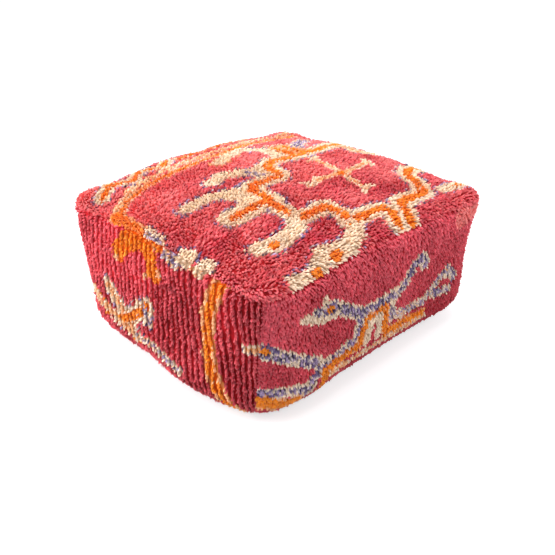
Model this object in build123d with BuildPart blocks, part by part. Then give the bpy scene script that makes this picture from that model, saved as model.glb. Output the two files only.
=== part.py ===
"""Square floor pouf sewn from a hand-knotted wool rug, with its zipped base, liner and filling.

The cover is three pieces of rug: one band runs up the front, over the top and down the back, and an
end panel closes each side. A cotton base cloth in two halves carries a zip in a shallow recess, so
that the slider clears the floor, and a tab of the same cloth crosses each end of the zip. Inside, a boxed calico liner holds a foam core packed in wadding.

Millimetres. +Z up, X along the band's width, the origin on the floor under the centre.
"""

import os
from math import asin, cos, hypot, sin, sqrt

from build123d import *

# Outside of the pile
LENGTH = 600  # X
DEPTH = 560  # Y, at the top seams
LOW_DEPTH = 500  # Y, at the floor before its edge is rounded
HEIGHT = 310  # floor to the middle of the crown
CORNER_DROP = 48  # the top corners lie this far below the crown
SIDE_SAGITTA = 9  # each side bows out by this much between its corners
TOP_CORNER = 46  # corner radius in plan at the top
LOW_CORNER = 84  # corner radius in plan at the floor
BOTTOM_ROUND = 62
TOP_ROUND = 24
LEAST_ROUND = 5  # an inner layer's lower edge is rounded at least this much

# Layers, from the outside in
RUG = 12  # foundation and pile
CLOTH = 1.2  # cotton base cloth
LINER = 1.4  # calico
LAYER_GAP = 0.3
LINER_LOW_SEAM = 55  # the liner's gusset starts this far above the floor
LINER_TOP_SEAM = 232
FOAM_LENGTH = 500
FOAM_DEPTH = 400
FOAM_HEIGHT = 150
FOAM_FLOOR = 70  # underside of the foam above the floor
FOAM_CORNER = 25

# Zip and its recess in the base
ZIP_LENGTH = 360  # between the outer ends of the stops, with the slider in between
RECESS_DEPTH = 7
RECESS_WIDTH = 44  # of the flat roof
RECESS_SLOPE = 40  # width of the slope from the roof down to the floor, at the sides
RECESS_END_SLOPE = 24  # and at the ends
RECESS_END = 14  # the roof goes on past each end of the zip
SLIT_WIDTH = 16  # between the folded edges of the base cloth
SLIT_END = 6  # the slit goes on past each end of the zip
HEM = 9
TAPE_WIDTH = 17
TAPE = 0.8
TAPE_END = 12  # tape past each end of the zip
TOOTH_PITCH = 4.2  # on one tape
TOOTH_HEIGHT = 2.8
TOOTH_ROOT = 3.4  # from the centre line to the back of a tooth, where the tape starts
TOOTH_SHOULDER = 1.7  # from the centre line to the front of a tooth's body
TOOTH_REACH = 1.2  # how far a head passes the centre line
TOOTH_BODY = 2.6
TOOTH_NECK = 1.2
TOOTH_HEAD = 1.8
STOP_LENGTH = 4
STOP_WALL = 0.9
STOP_GRIP = 2.4  # how far a stop reaches over the tape
STOP_GAP = 0.3

# Slider and puller
PLATE = 1.2
CHANNEL_SIDE = 0.35  # clearance beside the teeth
CHANNEL_TOP = 0.25  # clearance above and below the teeth
FLANGE = 0.9
TAPE_CLEARANCE = 0.35
SLIDER_LENGTH = 15
SLIDER_CORNER = 1.2
SHOULDER = 1.3  # the slider's front is wider than its rear by this much at each side
DIVIDER_LENGTH = 5.6
DIVIDER_WIDTH = 2.4
DIVIDER_SETBACK = 0.6  # behind the slider's front edge
BAIL_LENGTH = 7.5
BAIL_WIDTH = 2.4
BAIL_BAR = 1.1
BAIL_WINDOW = 2.3
PULL = 1.5  # thickness of the puller and of the pin at its end
PULL_LENGTH = 26  # from the pin to the tip
PULL_WIDTH = 7.5
PULL_TIP_WIDTH = 6
EYE_WIDTH = 4.4
EYE_LENGTH = 5.4
PULL_HOLE = 1.3  # radius of the hole near the tip
PULL_HOLE_EDGE = 2.2  # from that hole to the tip
FLOOR_GAP = 0.3

# Derived
CORNER_EDGE = HEIGHT - CORNER_DROP  # height of the top corners
DOME_REACH = hypot(LENGTH / 2 - TOP_CORNER / 3, DEPTH / 2 - TOP_CORNER / 3)
DOME_RADIUS = (DOME_REACH**2 + CORNER_DROP**2) / (2 * CORNER_DROP)
BLOCK_TOP = HEIGHT + TOP_ROUND  # the sides run up past the crown before the dome cuts them
WEDGE = 2 * BOTTOM_ROUND  # how far the cut behind each end's seams reaches inwards
CHAIN_Z = RECESS_DEPTH + 2 * CLOTH + TAPE / 2  # middle of the tapes and of the teeth
CHANNEL_HALF = TOOTH_HEIGHT / 2 + CHANNEL_TOP
CHANNEL_WIDTH = 2 * (TOOTH_ROOT + CHANNEL_SIDE)
SLIDER_WIDTH = CHANNEL_WIDTH + 2 * FLANGE
SLIDER_HALF = CHANNEL_HALF + PLATE
SLIDER_X = ZIP_LENGTH / 2 - STOP_LENGTH - STOP_GAP - SLIDER_LENGTH / 2  # the zip is closed
TEETH_START = -ZIP_LENGTH / 2 + STOP_LENGTH + STOP_GAP + TOOTH_BODY / 2
TEETH_END = SLIDER_X - TOOTH_BODY / 2  # the last tooth is in the slider, behind its divider
PIVOT_Z = CHAIN_Z - SLIDER_HALF - BAIL_WINDOW / 2
PULL_DROOP = asin((PIVOT_Z - PULL / 2 - FLOOR_GAP) / PULL_LENGTH)
SLIDER_ROOM = CHAIN_Z + SLIDER_HALF + LAYER_GAP - RECESS_DEPTH  # above the recess, for the slider


def half_depth(z):
    """Half the depth at height z: the front and the back lean out towards the top."""
    return (LOW_DEPTH + (DEPTH - LOW_DEPTH) * z / CORNER_EDGE) / 2


def dome(reach):
    """Height of the crown's sphere at this distance from the middle."""
    return HEIGHT - DOME_RADIUS + sqrt(DOME_RADIUS**2 - reach**2)


def level(z, inset, corner):
    """The cushion's outline at height z: four bowed sides with rounded corners."""
    half_x = LENGTH / 2 - inset
    half_y = half_depth(z) - inset
    end_x = half_x - SIDE_SAGITTA
    end_y = half_y - SIDE_SAGITTA
    with BuildSketch(Plane.XY.offset(z)) as outline:
        with BuildLine():
            ThreePointArc((-end_x, -end_y), (0, -half_y), (end_x, -end_y))
            ThreePointArc((end_x, -end_y), (half_x, 0), (end_x, end_y))
            ThreePointArc((end_x, end_y), (0, half_y), (-end_x, end_y))
            ThreePointArc((-end_x, end_y), (-half_x, 0), (-end_x, -end_y))
        make_face()
        fillet(outline.vertices(), corner - inset)
    return outline.sketch


def cushion(inset, floor, top_round=0):
    """The pouf's whole form, drawn in by inset and standing at height floor."""
    with BuildPart() as form:
        loft([level(floor, inset, LOW_CORNER), level(BLOCK_TOP, inset, TOP_CORNER)], ruled=True)
        with Locations((0, 0, HEIGHT - DOME_RADIUS)):
            Sphere(DOME_RADIUS - inset, mode=Mode.INTERSECT)
        if top_round:
            crown = form.faces().sort_by(Axis.Z)[-1]
            fillet(crown.edges(), top_round)
        underside = form.faces().sort_by(Axis.Z)[0]
        fillet(underside.edges(), max(BOTTOM_ROUND - inset, LEAST_ROUND))
    return form.part


def recess(grow):
    """The shallow recess over the zip, grown outwards for the layers that line it."""
    width = RECESS_WIDTH + 2 * grow
    length = ZIP_LENGTH + 2 * RECESS_END + 2 * grow
    with BuildPart() as hollow:
        with BuildSketch(Plane.XY):
            SlotOverall(length + 2 * RECESS_END_SLOPE, width + 2 * RECESS_SLOPE)
        with BuildSketch(Plane.XY.offset(RECESS_DEPTH + grow)):
            SlotOverall(length, width)
        loft(ruled=True)
    return hollow.part


def layer(inset, floor, room):
    """The form of one inner layer: a smaller cushion, hollowed by room over the recess."""
    with BuildPart() as form:
        add(cushion(inset, floor))
        add(recess(room), mode=Mode.SUBTRACT)
    return form.part


def end_wedge(side):
    """The space behind one end's seams, which it leaves inwards at 45 degrees."""
    low = half_depth(-WEDGE) + SIDE_SAGITTA
    high = half_depth(CORNER_EDGE) + SIDE_SAGITTA
    corner = CORNER_EDGE + SIDE_SAGITTA
    middle = dome(LENGTH / 2) + SIDE_SAGITTA
    start = Plane(
        origin=(side * (LENGTH / 2 + SIDE_SAGITTA), 0, 0), x_dir=(0, -side, 0), z_dir=(-side, 0, 0)
    )
    with BuildPart() as wedge:
        with BuildSketch(start):
            with BuildLine():
                Polyline((-high, corner), (-low, -WEDGE), (low, -WEDGE), (high, corner))
                ThreePointArc((high, corner), (0, middle), (-high, corner))
            make_face()
        extrude(amount=WEDGE, taper=45)
    return wedge.part


def zip_teeth(side):
    """One side's row of teeth. The other side's are half a pitch further on."""
    shift = TOOTH_PITCH / 4 * side
    count = int((TEETH_END - TEETH_START - TOOTH_PITCH / 2) / TOOTH_PITCH) + 1
    middle = (TEETH_START + TEETH_END) / 2 + shift
    with BuildPart() as teeth:
        with BuildSketch(Plane.XY.offset(CHAIN_Z)):
            with Locations((middle, 0)):
                with GridLocations(TOOTH_PITCH, 1, count, 1):
                    Polygon(
                        (-TOOTH_BODY / 2, side * TOOTH_ROOT),
                        (-TOOTH_BODY / 2, side * TOOTH_SHOULDER),
                        (-TOOTH_NECK / 2, side * TOOTH_REACH / 2),
                        (-TOOTH_HEAD / 2, -side * TOOTH_REACH / 2),
                        (-TOOTH_NECK / 2, -side * TOOTH_REACH),
                        (TOOTH_NECK / 2, -side * TOOTH_REACH),
                        (TOOTH_HEAD / 2, -side * TOOTH_REACH / 2),
                        (TOOTH_NECK / 2, side * TOOTH_REACH / 2),
                        (TOOTH_BODY / 2, side * TOOTH_SHOULDER),
                        (TOOTH_BODY / 2, side * TOOTH_ROOT),
                        align=None,
                    )
        extrude(amount=TOOTH_HEIGHT / 2, both=True)
    return teeth.part


def zip_tape(side):
    """One woven tape, sewn along the base cloth's folded edge."""
    with BuildPart() as tape:
        with Locations((0, side * (TOOTH_ROOT + TAPE_WIDTH / 2), CHAIN_Z)):
            Box(ZIP_LENGTH + 2 * TAPE_END, TAPE_WIDTH, TAPE)
    return tape.part


# Rug cover
with BuildPart() as pouf:
    add(cushion(0, 0, TOP_ROUND))
underside = pouf.faces().sort_by(Axis.Z)[0]

with BuildPart() as rug:
    add(pouf.part)
    add(cushion(RUG, CLOTH), mode=Mode.SUBTRACT)
    extrude(underside, amount=CLOTH, dir=(0, 0, 1), mode=Mode.SUBTRACT)

with BuildPart() as rug_wrap_panel:
    add(rug.part)
    add([end_wedge(1), end_wedge(-1)], mode=Mode.SUBTRACT)

with BuildPart() as rug_end_panel_left:
    add(rug.part)
    add(end_wedge(-1), mode=Mode.INTERSECT)

with BuildPart() as rug_end_panel_right:
    add(rug.part)
    add(end_wedge(1), mode=Mode.INTERSECT)

# Base cloth
with BuildPart() as base_cloth:
    extrude(underside, amount=CLOTH, dir=(0, 0, 1))
    add(recess(CLOTH))
    add(recess(0), mode=Mode.SUBTRACT)
    with Locations((0, 0, RECESS_DEPTH + 1.5 * CLOTH)):
        Box(ZIP_LENGTH + 2 * SLIT_END, SLIT_WIDTH + 2 * HEM, CLOTH)
    with Locations((0, 0, RECESS_DEPTH + CLOTH)):
        Box(ZIP_LENGTH + 2 * SLIT_END, SLIT_WIDTH, 3 * CLOTH, mode=Mode.SUBTRACT)

# The tabs are as wide as the recess and reach from the slit's ends to the rug
with BuildPart() as base_tabs:
    add(base_cloth.part)
    Box(LENGTH, RECESS_WIDTH + 2 * RECESS_SLOPE, 4 * RECESS_DEPTH, mode=Mode.INTERSECT)
    Box(ZIP_LENGTH + 2 * SLIT_END, DEPTH, 4 * RECESS_DEPTH, mode=Mode.SUBTRACT)

with BuildPart() as base_tab_left:
    add(base_tabs.part)
    split(bisect_by=Plane.YZ, keep=Keep.BOTTOM)

with BuildPart() as base_tab_right:
    add(base_tabs.part)
    split(bisect_by=Plane.YZ, keep=Keep.TOP)

with BuildPart() as base_cloth_front:
    add(base_cloth.part)
    add(base_tabs.part, mode=Mode.SUBTRACT)
    split(bisect_by=Plane.XZ, keep=Keep.TOP)

with BuildPart() as base_cloth_back:
    add(base_cloth.part)
    add(base_tabs.part, mode=Mode.SUBTRACT)
    split(bisect_by=Plane.XZ, keep=Keep.BOTTOM)

# Zip
with BuildPart() as zip_tape_front:
    add(zip_tape(-1))

with BuildPart() as zip_tape_back:
    add(zip_tape(1))

with BuildPart() as zip_teeth_front:
    add(zip_teeth(-1))

with BuildPart() as zip_teeth_back:
    add(zip_teeth(1))

# The stops grip the tapes' edges
with BuildPart() as zip_top_stops:
    with BuildSketch(Plane.YZ.offset(ZIP_LENGTH / 2 - STOP_LENGTH)):
        with Locations((TOOTH_ROOT, CHAIN_Z), (-TOOTH_ROOT, CHAIN_Z)):
            Rectangle(2 * STOP_GRIP, TAPE + 2 * STOP_WALL)
    extrude(amount=STOP_LENGTH)
    add([zip_tape(1), zip_tape(-1)], mode=Mode.SUBTRACT)
    with Locations((ZIP_LENGTH / 2, 0, CHAIN_Z)):
        Box(2 * ZIP_LENGTH, 2 * (TOOTH_ROOT - STOP_WALL), 2 * TOOTH_HEIGHT, mode=Mode.SUBTRACT)

with BuildPart() as zip_bottom_stop:
    with Locations((-ZIP_LENGTH / 2 + STOP_LENGTH / 2, 0, CHAIN_Z)):
        Box(STOP_LENGTH, 2 * (TOOTH_ROOT + STOP_GRIP), TAPE + 2 * STOP_WALL)
    add([zip_tape(1), zip_tape(-1)], mode=Mode.SUBTRACT)

# Slider: two plates joined by the divider, with a lip along each side that holds the teeth in
with BuildPart() as zip_slider:
    half_length = SLIDER_LENGTH / 2
    rear = SLIDER_WIDTH / 2
    front = rear + SHOULDER
    with BuildSketch(Plane((SLIDER_X, 0, CHAIN_Z))) as plate:
        Polygon(
            (-half_length, -rear),
            (0, -rear),
            (half_length, -front),
            (half_length, front),
            (0, rear),
            (-half_length, rear),
            align=None,
        )
        fillet(plate.vertices().group_by(Axis.X)[0], SLIDER_CORNER)
        fillet(plate.vertices().group_by(Axis.X)[-1], SLIDER_CORNER)
    extrude(amount=SLIDER_HALF, both=True)
    with BuildSketch(Plane((SLIDER_X, 0, CHAIN_Z))):
        Polygon(
            (-half_length, FLANGE - rear),
            (0, FLANGE - rear),
            (half_length, FLANGE - front),
            (half_length, front - FLANGE),
            (0, rear - FLANGE),
            (-half_length, rear - FLANGE),
            align=None,
        )
    extrude(amount=CHANNEL_HALF, both=True, mode=Mode.SUBTRACT)
    with Locations((SLIDER_X, 0, CHAIN_Z)):
        Box(SLIDER_LENGTH, 2 * front, TAPE + 2 * TAPE_CLEARANCE, mode=Mode.SUBTRACT)
    with BuildSketch(Plane((SLIDER_X, 0, CHAIN_Z))):
        with Locations((half_length - DIVIDER_SETBACK - DIVIDER_LENGTH / 2, 0)):
            SlotOverall(DIVIDER_LENGTH, DIVIDER_WIDTH)
    extrude(amount=(CHANNEL_HALF + SLIDER_HALF) / 2, both=True)
    with BuildSketch(Plane.XZ) as bail:
        with Locations((SLIDER_X, PIVOT_Z - BAIL_WINDOW / 2 - BAIL_BAR)):
            Rectangle(BAIL_LENGTH, BAIL_BAR + BAIL_WINDOW + PLATE / 2, align=(Align.CENTER, Align.MIN))
        fillet(bail.vertices().group_by(Axis.Y)[0], BAIL_BAR)
        with Locations((SLIDER_X, PIVOT_Z)):
            Rectangle(BAIL_LENGTH - 2 * BAIL_BAR, BAIL_WINDOW, mode=Mode.SUBTRACT)
    extrude(amount=BAIL_WIDTH / 2, both=True)

# Puller, hanging from the bail until its tip is just clear of the floor
puller_plane = Plane(
    origin=(SLIDER_X, 0, PIVOT_Z),
    x_dir=(cos(PULL_DROOP), 0, sin(PULL_DROOP)),
    z_dir=(-sin(PULL_DROOP), 0, cos(PULL_DROOP)),
)
with BuildPart() as zip_pull:
    eye_end = PULL / 2 + EYE_LENGTH
    with BuildSketch(puller_plane) as blade:
        Polygon(
            (0, -PULL_WIDTH / 2),
            (0, PULL_WIDTH / 2),
            (-eye_end, PULL_WIDTH / 2),
            (-PULL_LENGTH, PULL_TIP_WIDTH / 2),
            (-PULL_LENGTH, -PULL_TIP_WIDTH / 2),
            (-eye_end, -PULL_WIDTH / 2),
            align=None,
        )
        fillet(blade.vertices().group_by(Axis.X)[0], PULL_TIP_WIDTH / 3)
        with Locations((-eye_end / 2, 0)):
            Rectangle(eye_end, EYE_WIDTH, mode=Mode.SUBTRACT)
        with Locations((PULL_HOLE + PULL_HOLE_EDGE - PULL_LENGTH, 0)):
            Circle(PULL_HOLE, mode=Mode.SUBTRACT)
    extrude(amount=PULL / 2, both=True)
    with BuildSketch(Plane.XZ):
        with Locations((SLIDER_X, PIVOT_Z)):
            Circle(PULL / 2)
    extrude(amount=PULL_WIDTH / 2, both=True)

# Calico liner: a top, a bottom and a gusset between them
with BuildPart() as liner:
    liner_floor = CLOTH + LAYER_GAP
    add(layer(RUG + LAYER_GAP, liner_floor, SLIDER_ROOM))
    add(layer(RUG + LAYER_GAP + LINER, liner_floor + LINER, SLIDER_ROOM + LINER), mode=Mode.SUBTRACT)

with BuildPart() as liner_top:
    add(liner.part)
    split(bisect_by=Plane.XY.offset(LINER_TOP_SEAM), keep=Keep.TOP)

with BuildPart() as liner_gusset:
    add(liner.part)
    split(bisect_by=Plane.XY.offset(LINER_TOP_SEAM), keep=Keep.BOTTOM)
    split(bisect_by=Plane.XY.offset(LINER_LOW_SEAM), keep=Keep.TOP)

with BuildPart() as liner_bottom:
    add(liner.part)
    split(bisect_by=Plane.XY.offset(LINER_LOW_SEAM), keep=Keep.BOTTOM)

# Filling
with BuildPart() as foam_core:
    with BuildSketch(Plane.XY.offset(FOAM_FLOOR)):
        RectangleRounded(FOAM_LENGTH, FOAM_DEPTH, FOAM_CORNER)
    extrude(amount=FOAM_HEIGHT)

with BuildPart() as wadding:
    fill_gap = LAYER_GAP + LINER + LAYER_GAP
    add(layer(RUG + fill_gap, CLOTH + fill_gap, SLIDER_ROOM + LINER + LAYER_GAP))
    add(foam_core.part, mode=Mode.SUBTRACT)

with BuildPart() as wadding_upper:
    add(wadding.part)
    split(bisect_by=Plane.XY.offset(FOAM_FLOOR + FOAM_HEIGHT / 2), keep=Keep.TOP)

with BuildPart() as wadding_lower:
    add(wadding.part)
    split(bisect_by=Plane.XY.offset(FOAM_FLOOR + FOAM_HEIGHT / 2), keep=Keep.BOTTOM)

pieces = {
    "rug_wrap_panel": rug_wrap_panel,
    "rug_end_panel_left": rug_end_panel_left,
    "rug_end_panel_right": rug_end_panel_right,
    "base_cloth_front": base_cloth_front,
    "base_cloth_back": base_cloth_back,
    "base_tab_left": base_tab_left,
    "base_tab_right": base_tab_right,
    "zip_tape_front": zip_tape_front,
    "zip_tape_back": zip_tape_back,
    "zip_teeth_front": zip_teeth_front,
    "zip_teeth_back": zip_teeth_back,
    "zip_top_stops": zip_top_stops,
    "zip_bottom_stop": zip_bottom_stop,
    "zip_slider": zip_slider,
    "zip_pull": zip_pull,
    "liner_top": liner_top,
    "liner_gusset": liner_gusset,
    "liner_bottom": liner_bottom,
    "foam_core": foam_core,
    "wadding_upper": wadding_upper,
    "wadding_lower": wadding_lower,
}
os.makedirs("parts", exist_ok=True)
for label, piece in pieces.items():
    piece.part.label = label
    export_step(piece.part, f"parts/{label}.step")
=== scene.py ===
"""Square floor pouf sewn from a hand-knotted wool rug, with its zipped cotton base."""

import math

import bmesh
import bpy
import numpy as np
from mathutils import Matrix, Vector
from mathutils.kdtree import KDTree


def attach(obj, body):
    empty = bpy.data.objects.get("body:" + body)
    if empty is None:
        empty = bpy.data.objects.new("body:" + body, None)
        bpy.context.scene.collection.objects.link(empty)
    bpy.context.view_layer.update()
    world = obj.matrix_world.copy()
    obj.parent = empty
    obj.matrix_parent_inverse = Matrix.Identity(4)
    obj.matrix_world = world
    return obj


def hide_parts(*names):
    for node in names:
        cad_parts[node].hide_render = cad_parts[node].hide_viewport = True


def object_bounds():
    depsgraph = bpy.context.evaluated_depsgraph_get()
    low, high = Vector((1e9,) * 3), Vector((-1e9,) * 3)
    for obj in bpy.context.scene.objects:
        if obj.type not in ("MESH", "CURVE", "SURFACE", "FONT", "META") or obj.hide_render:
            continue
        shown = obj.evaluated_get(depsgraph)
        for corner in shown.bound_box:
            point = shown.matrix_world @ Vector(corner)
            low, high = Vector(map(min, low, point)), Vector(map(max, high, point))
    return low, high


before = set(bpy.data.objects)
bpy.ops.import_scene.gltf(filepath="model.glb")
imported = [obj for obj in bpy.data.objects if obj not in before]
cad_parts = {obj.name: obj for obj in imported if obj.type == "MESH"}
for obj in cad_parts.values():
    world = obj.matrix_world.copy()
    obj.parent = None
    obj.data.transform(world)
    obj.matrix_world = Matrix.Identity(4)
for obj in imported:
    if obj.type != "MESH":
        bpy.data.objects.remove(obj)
cad_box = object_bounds()

# The cover's form, in metres, as the solids have it
HALF_X = cad_box[1].x
HALF_Y = 0.280  # at the top corners
LOW_HALF_Y = 0.250  # at the floor
HEIGHT = cad_box[1].z
CORNER_DROP = 0.048  # of the top corners below the crown
CORNER_EDGE = HEIGHT - CORNER_DROP
SAGITTA = 0.009  # how far each side bows outwards
TOP_CORNER = 0.046  # radius of an upright corner at its top
LOW_CORNER = 0.084  # and at the floor
TOP_ROUND = 0.024
BOTTOM_ROUND = 0.062
BOTTOM_RUN = 0.04  # what the rounding under the cover adds to the height of a side panel
EAR = 0.013  # how far the filling pushes up a top corner
FILL_FRAMES = 20  # steps of time in which the filling settles
FILL_CAP = 0.004  # the furthest that the filling moves the cover
SEAM_HOLD = 0.002  # cloth this near a seam is held still while it fills
FLOOR_HOLD = 0.004  # and so is cloth this near the floor
WELD = 0.0015  # places of neighbouring panels this near are one place of the seam
JOIN = 0.0002  # and this near, where they are joined without a change of shape
DOME_REACH = math.hypot(HALF_X - TOP_CORNER / 3, HALF_Y - TOP_CORNER / 3)
DOME_RADIUS = (DOME_REACH**2 + CORNER_DROP**2) / (2 * CORNER_DROP)

# The rug
PILE = 0.0065  # height of the pile above the rug's foundation
CELL = 0.006  # of the grid that carries a panel's form
KNOT = 0.0041  # from one knot to the next along a row
BAND_ROW = 0.0053  # from one row to the next on the band
RIB = 0.0127  # from one rib to the next on an end panel
RIB_SPREAD = 0.0044  # between the two rows that make a rib
FIRST_KNOT = 0.003  # of a row, from its panel's edge
FIRST_RIB = 0.004
# How far knots stray, along the row and from row to row: each by itself, and slowly all together
KNOT_STRAY = (0.0006, 0.0009)
ROW_DRIFT = (0.0034, 0.0020)
RIB_DRIFT = 0.0026  # of a rib by itself
# How far tufts lean: out from their rib's middle, over the upright seams and over the top seam
RIB_LEAN = 0.35
SIDE_LEAN = 0.8
TOP_LEAN = 0.9
LEAST_PILE = 0.0012  # height of the pile at the base seam
THIN_BELOW = 0.022  # the pile thins out under this height
FLOOR_GAP = 0.0006  # between the lowest tufts and the floor
LONGEST_TUFT = 1.3  # as a share of TUFT_LENGTH
LEAST_TUFT = 0.12
PARTS = {"top": 3, "front": 2, "back": 2, "left": 2, "right": 2}  # meshes that a side's pile is made in
THREAD = 0.0009  # thickness of the sewing thread
STITCH = 0.0036  # length of a stitch along the zip
STITCH_PITCH = 1.25 * STITCH
STITCH_ROWS = (0.0104, 0.0150)  # distance of the rows beside the zip from its middle
STITCH_MARGIN = 0.004  # the tabs' rows end this far inside the base seam
WHIP = 0.0075  # length of a whip stitch over the seam between rug and base
WHIP_PITCH = 0.006
WHIP_SINK = 0.0010  # of the whip stitches under the seam's height
WHIP_LEVEL = 0.0014  # the least height of their middle
# The base's pieces laid flat
# The base's hollow for the zip: half its straight length and its radius, at its foot and at its roof
FOOT = (0.156, 0.062)
ROOF = (0.172, 0.022)
HOLLOW_DEPTH = 0.007
LEAST_LEVEL = 0.0012  # of the rug above the floor
CLOTH_LEVEL = 0.0007  # of the base cloth's middle above the floor
CLOTH = 0.0010  # thickness of the base cloth
CLOTH_GAP = CLOTH + 0.0001  # between the middles of two layers of it
SLIT = 0.0078  # half the width between the base cloth's folded edges
SLIT_END = 0.186  # half the slit's length
FOLD = 0.0004  # by which the cloth turns back from the fold's edge as it rises
FOLD_RISE = 0.0006  # height of the fold's edge over the cloth
HEM = 0.0168  # the folded cloth ends this far from the middle
TAB_EDGE = 0.062  # half the width of the opening that a tab covers
TAB_LAP = 0.003  # the tab reaches this far past the opening
TAB_START = SLIT_END - 0.004  # the tab begins this far from the middle
LINER_DEPTH = 0.0035  # of the liner under the rug's foundation
LINER_RISE = 0.0024  # of the liner over the base cloth
ZIP_ROOM = 0.0120  # how far the liner is drawn up over the slider
ZIP_ROOM_SPREAD = 0.026  # by which the liner's hollow is wider all round than the base cloth's
WADDING_DEPTH = 0.0060  # of the wadding under the rug's foundation
WADDING_SPLIT = 0.145  # height at which the upper wadding meets the lower
# The wadding's inner face is its outer face drawn in by these shares, about the split's height
WADDING_INNER = (0.90, 0.83, 0.54)
SEAM_COVER = 0.007  # this near a seam the pile leans over it
SEAM_DEPTH = 0.0025  # of the groove along a seam
SEAM_WIDTH = 0.006
STRANDS = 3  # in a tuft
TUFT_KINDS = 6
TUFT_LENGTH = 0.0078
TUFT_WIDTH = 0.0037

BLACK = (0, 0, 0, 1)
WHITE = (1, 1, 1, 1)


# ---------------------------------------------------------------- camera, floor and light


def colour(red, green, blue):
    """A colour picked on a 0 to 255 scale, as the renderer's linear numbers."""
    linear = [c / 255 / 12.92 if c <= 10 else ((c / 255 + 0.055) / 1.055) ** 2.4 for c in (red, green, blue)]
    return (*linear, 1.0)


def aim(thing, place, target):
    """Puts a camera or a lamp in its place and points it at the target."""
    thing.location = place
    thing.rotation_euler = (Vector(target) - Vector(place)).to_track_quat("-Z", "Y").to_euler()


def add_camera():
    data = bpy.data.cameras.new("camera")
    camera = bpy.data.objects.new("camera", data)
    bpy.context.scene.collection.objects.link(camera)
    data.sensor_width = 36
    data.lens = 49.7
    data.shift_x = -0.0015
    data.shift_y = -0.0467
    aim(camera, (-0.928, -0.951, 0.820), (0, 0, 0.15))
    bpy.context.scene.camera = camera


def add_lamp(name, place, size, watts, tint=(1, 1, 1)):
    data = bpy.data.lights.new(name, "AREA")
    data.shape = "DISK"
    data.size = size
    data.energy = watts
    data.color = tint
    lamp = bpy.data.objects.new(name, data)
    bpy.context.scene.collection.objects.link(lamp)
    aim(lamp, place, (0, 0, 0.1))


class Term:
    """What a node gives, at one of its sockets. Sums and products of numbers add Math nodes."""

    def __init__(self, nodes, socket):
        self.nodes = nodes
        self.socket = socket

    def combine(self, operation, first, second):
        return self.nodes.node("ShaderNodeMath", {"operation": operation}, {0: first, 1: second})

    def __add__(self, other):
        return self.combine("ADD", self, other)

    def __radd__(self, other):
        return self.combine("ADD", other, self)

    def __mul__(self, other):
        return self.combine("MULTIPLY", self, other)

    def __rmul__(self, other):
        return self.combine("MULTIPLY", other, self)


class Nodes:
    """A tree of nodes that is built up from one method."""

    def __init__(self, tree):
        self.tree = tree
        self.tree.nodes.clear()

    def node(self, kind, settings=None, sockets=None, output=0):
        """Adds a node, sets its settings, then fills or links its sockets, and returns one output."""
        made = self.tree.nodes.new(kind)
        for key, value in (settings or {}).items():
            if key == "stops":
                ramp = made.color_ramp
                while len(ramp.elements) < len(value):
                    ramp.elements.new(0.5)
                for element, (place, tint) in zip(ramp.elements, value):
                    element.position = place
                    element.color = tint
            else:
                setattr(made, key, value)
        for key, value in (sockets or {}).items():
            if isinstance(value, Term):
                self.tree.links.new(value.socket, made.inputs[key])
            else:
                made.inputs[key].default_value = value
        return Term(self, made.outputs[output]) if made.outputs else None


class Finish(Nodes):
    """One material and the nodes in it."""

    def __init__(self, name):
        self.material = bpy.data.materials.new(name)
        self.material.use_nodes = True
        super().__init__(self.material.node_tree)

    def mix(self, share, first, second, blend="MIX"):
        """A colour between first and second."""
        settings = {"data_type": "RGBA", "blend_type": blend, "clamp_factor": True}
        return self.node("ShaderNodeMix", settings, {0: share, 6: first, 7: second}, output=2)

    def place(self):
        """Where a point of the piece lies, in metres."""
        return self.node("ShaderNodeTexCoord", output="Object")

    def axes(self, place):
        """The three numbers of a place."""
        first = self.node("ShaderNodeSeparateXYZ", None, {0: place})
        return [Term(self, socket) for socket in first.socket.node.outputs]

    def noise(self, place, scale, detail=2.0, roughness=0.5):
        sockets = {"Vector": place, "Scale": scale, "Detail": detail, "Roughness": roughness}
        return self.node("ShaderNodeTexNoise", None, sockets)

    def stretched(self, place, scale):
        return self.node("ShaderNodeMapping", None, {"Vector": place, "Scale": scale})

    def ramp(self, value, *stops):
        return self.node("ShaderNodeValToRGB", {"stops": stops}, {0: value})

    def rise(self, value, low, high):
        """Black up to low, white from high on, and even greys between."""
        return self.ramp(value, (low, BLACK), (high, WHITE))

    def attribute(self, name, output=0):
        return self.node("ShaderNodeAttribute", {"attribute_name": name}, output=output)

    def bump(self, height, strength, distance):
        sockets = {"Height": height, "Strength": strength, "Distance": distance}
        return self.node("ShaderNodeBump", None, sockets)

    def surface(self, **sockets):
        """Ends the material in a Principled shader with these sockets."""
        named = {key.replace("_", " "): value for key, value in sockets.items()}
        shader = self.node("ShaderNodeBsdfPrincipled", None, named)
        self.node("ShaderNodeOutputMaterial", None, {"Surface": shader})
        return self.material


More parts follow.
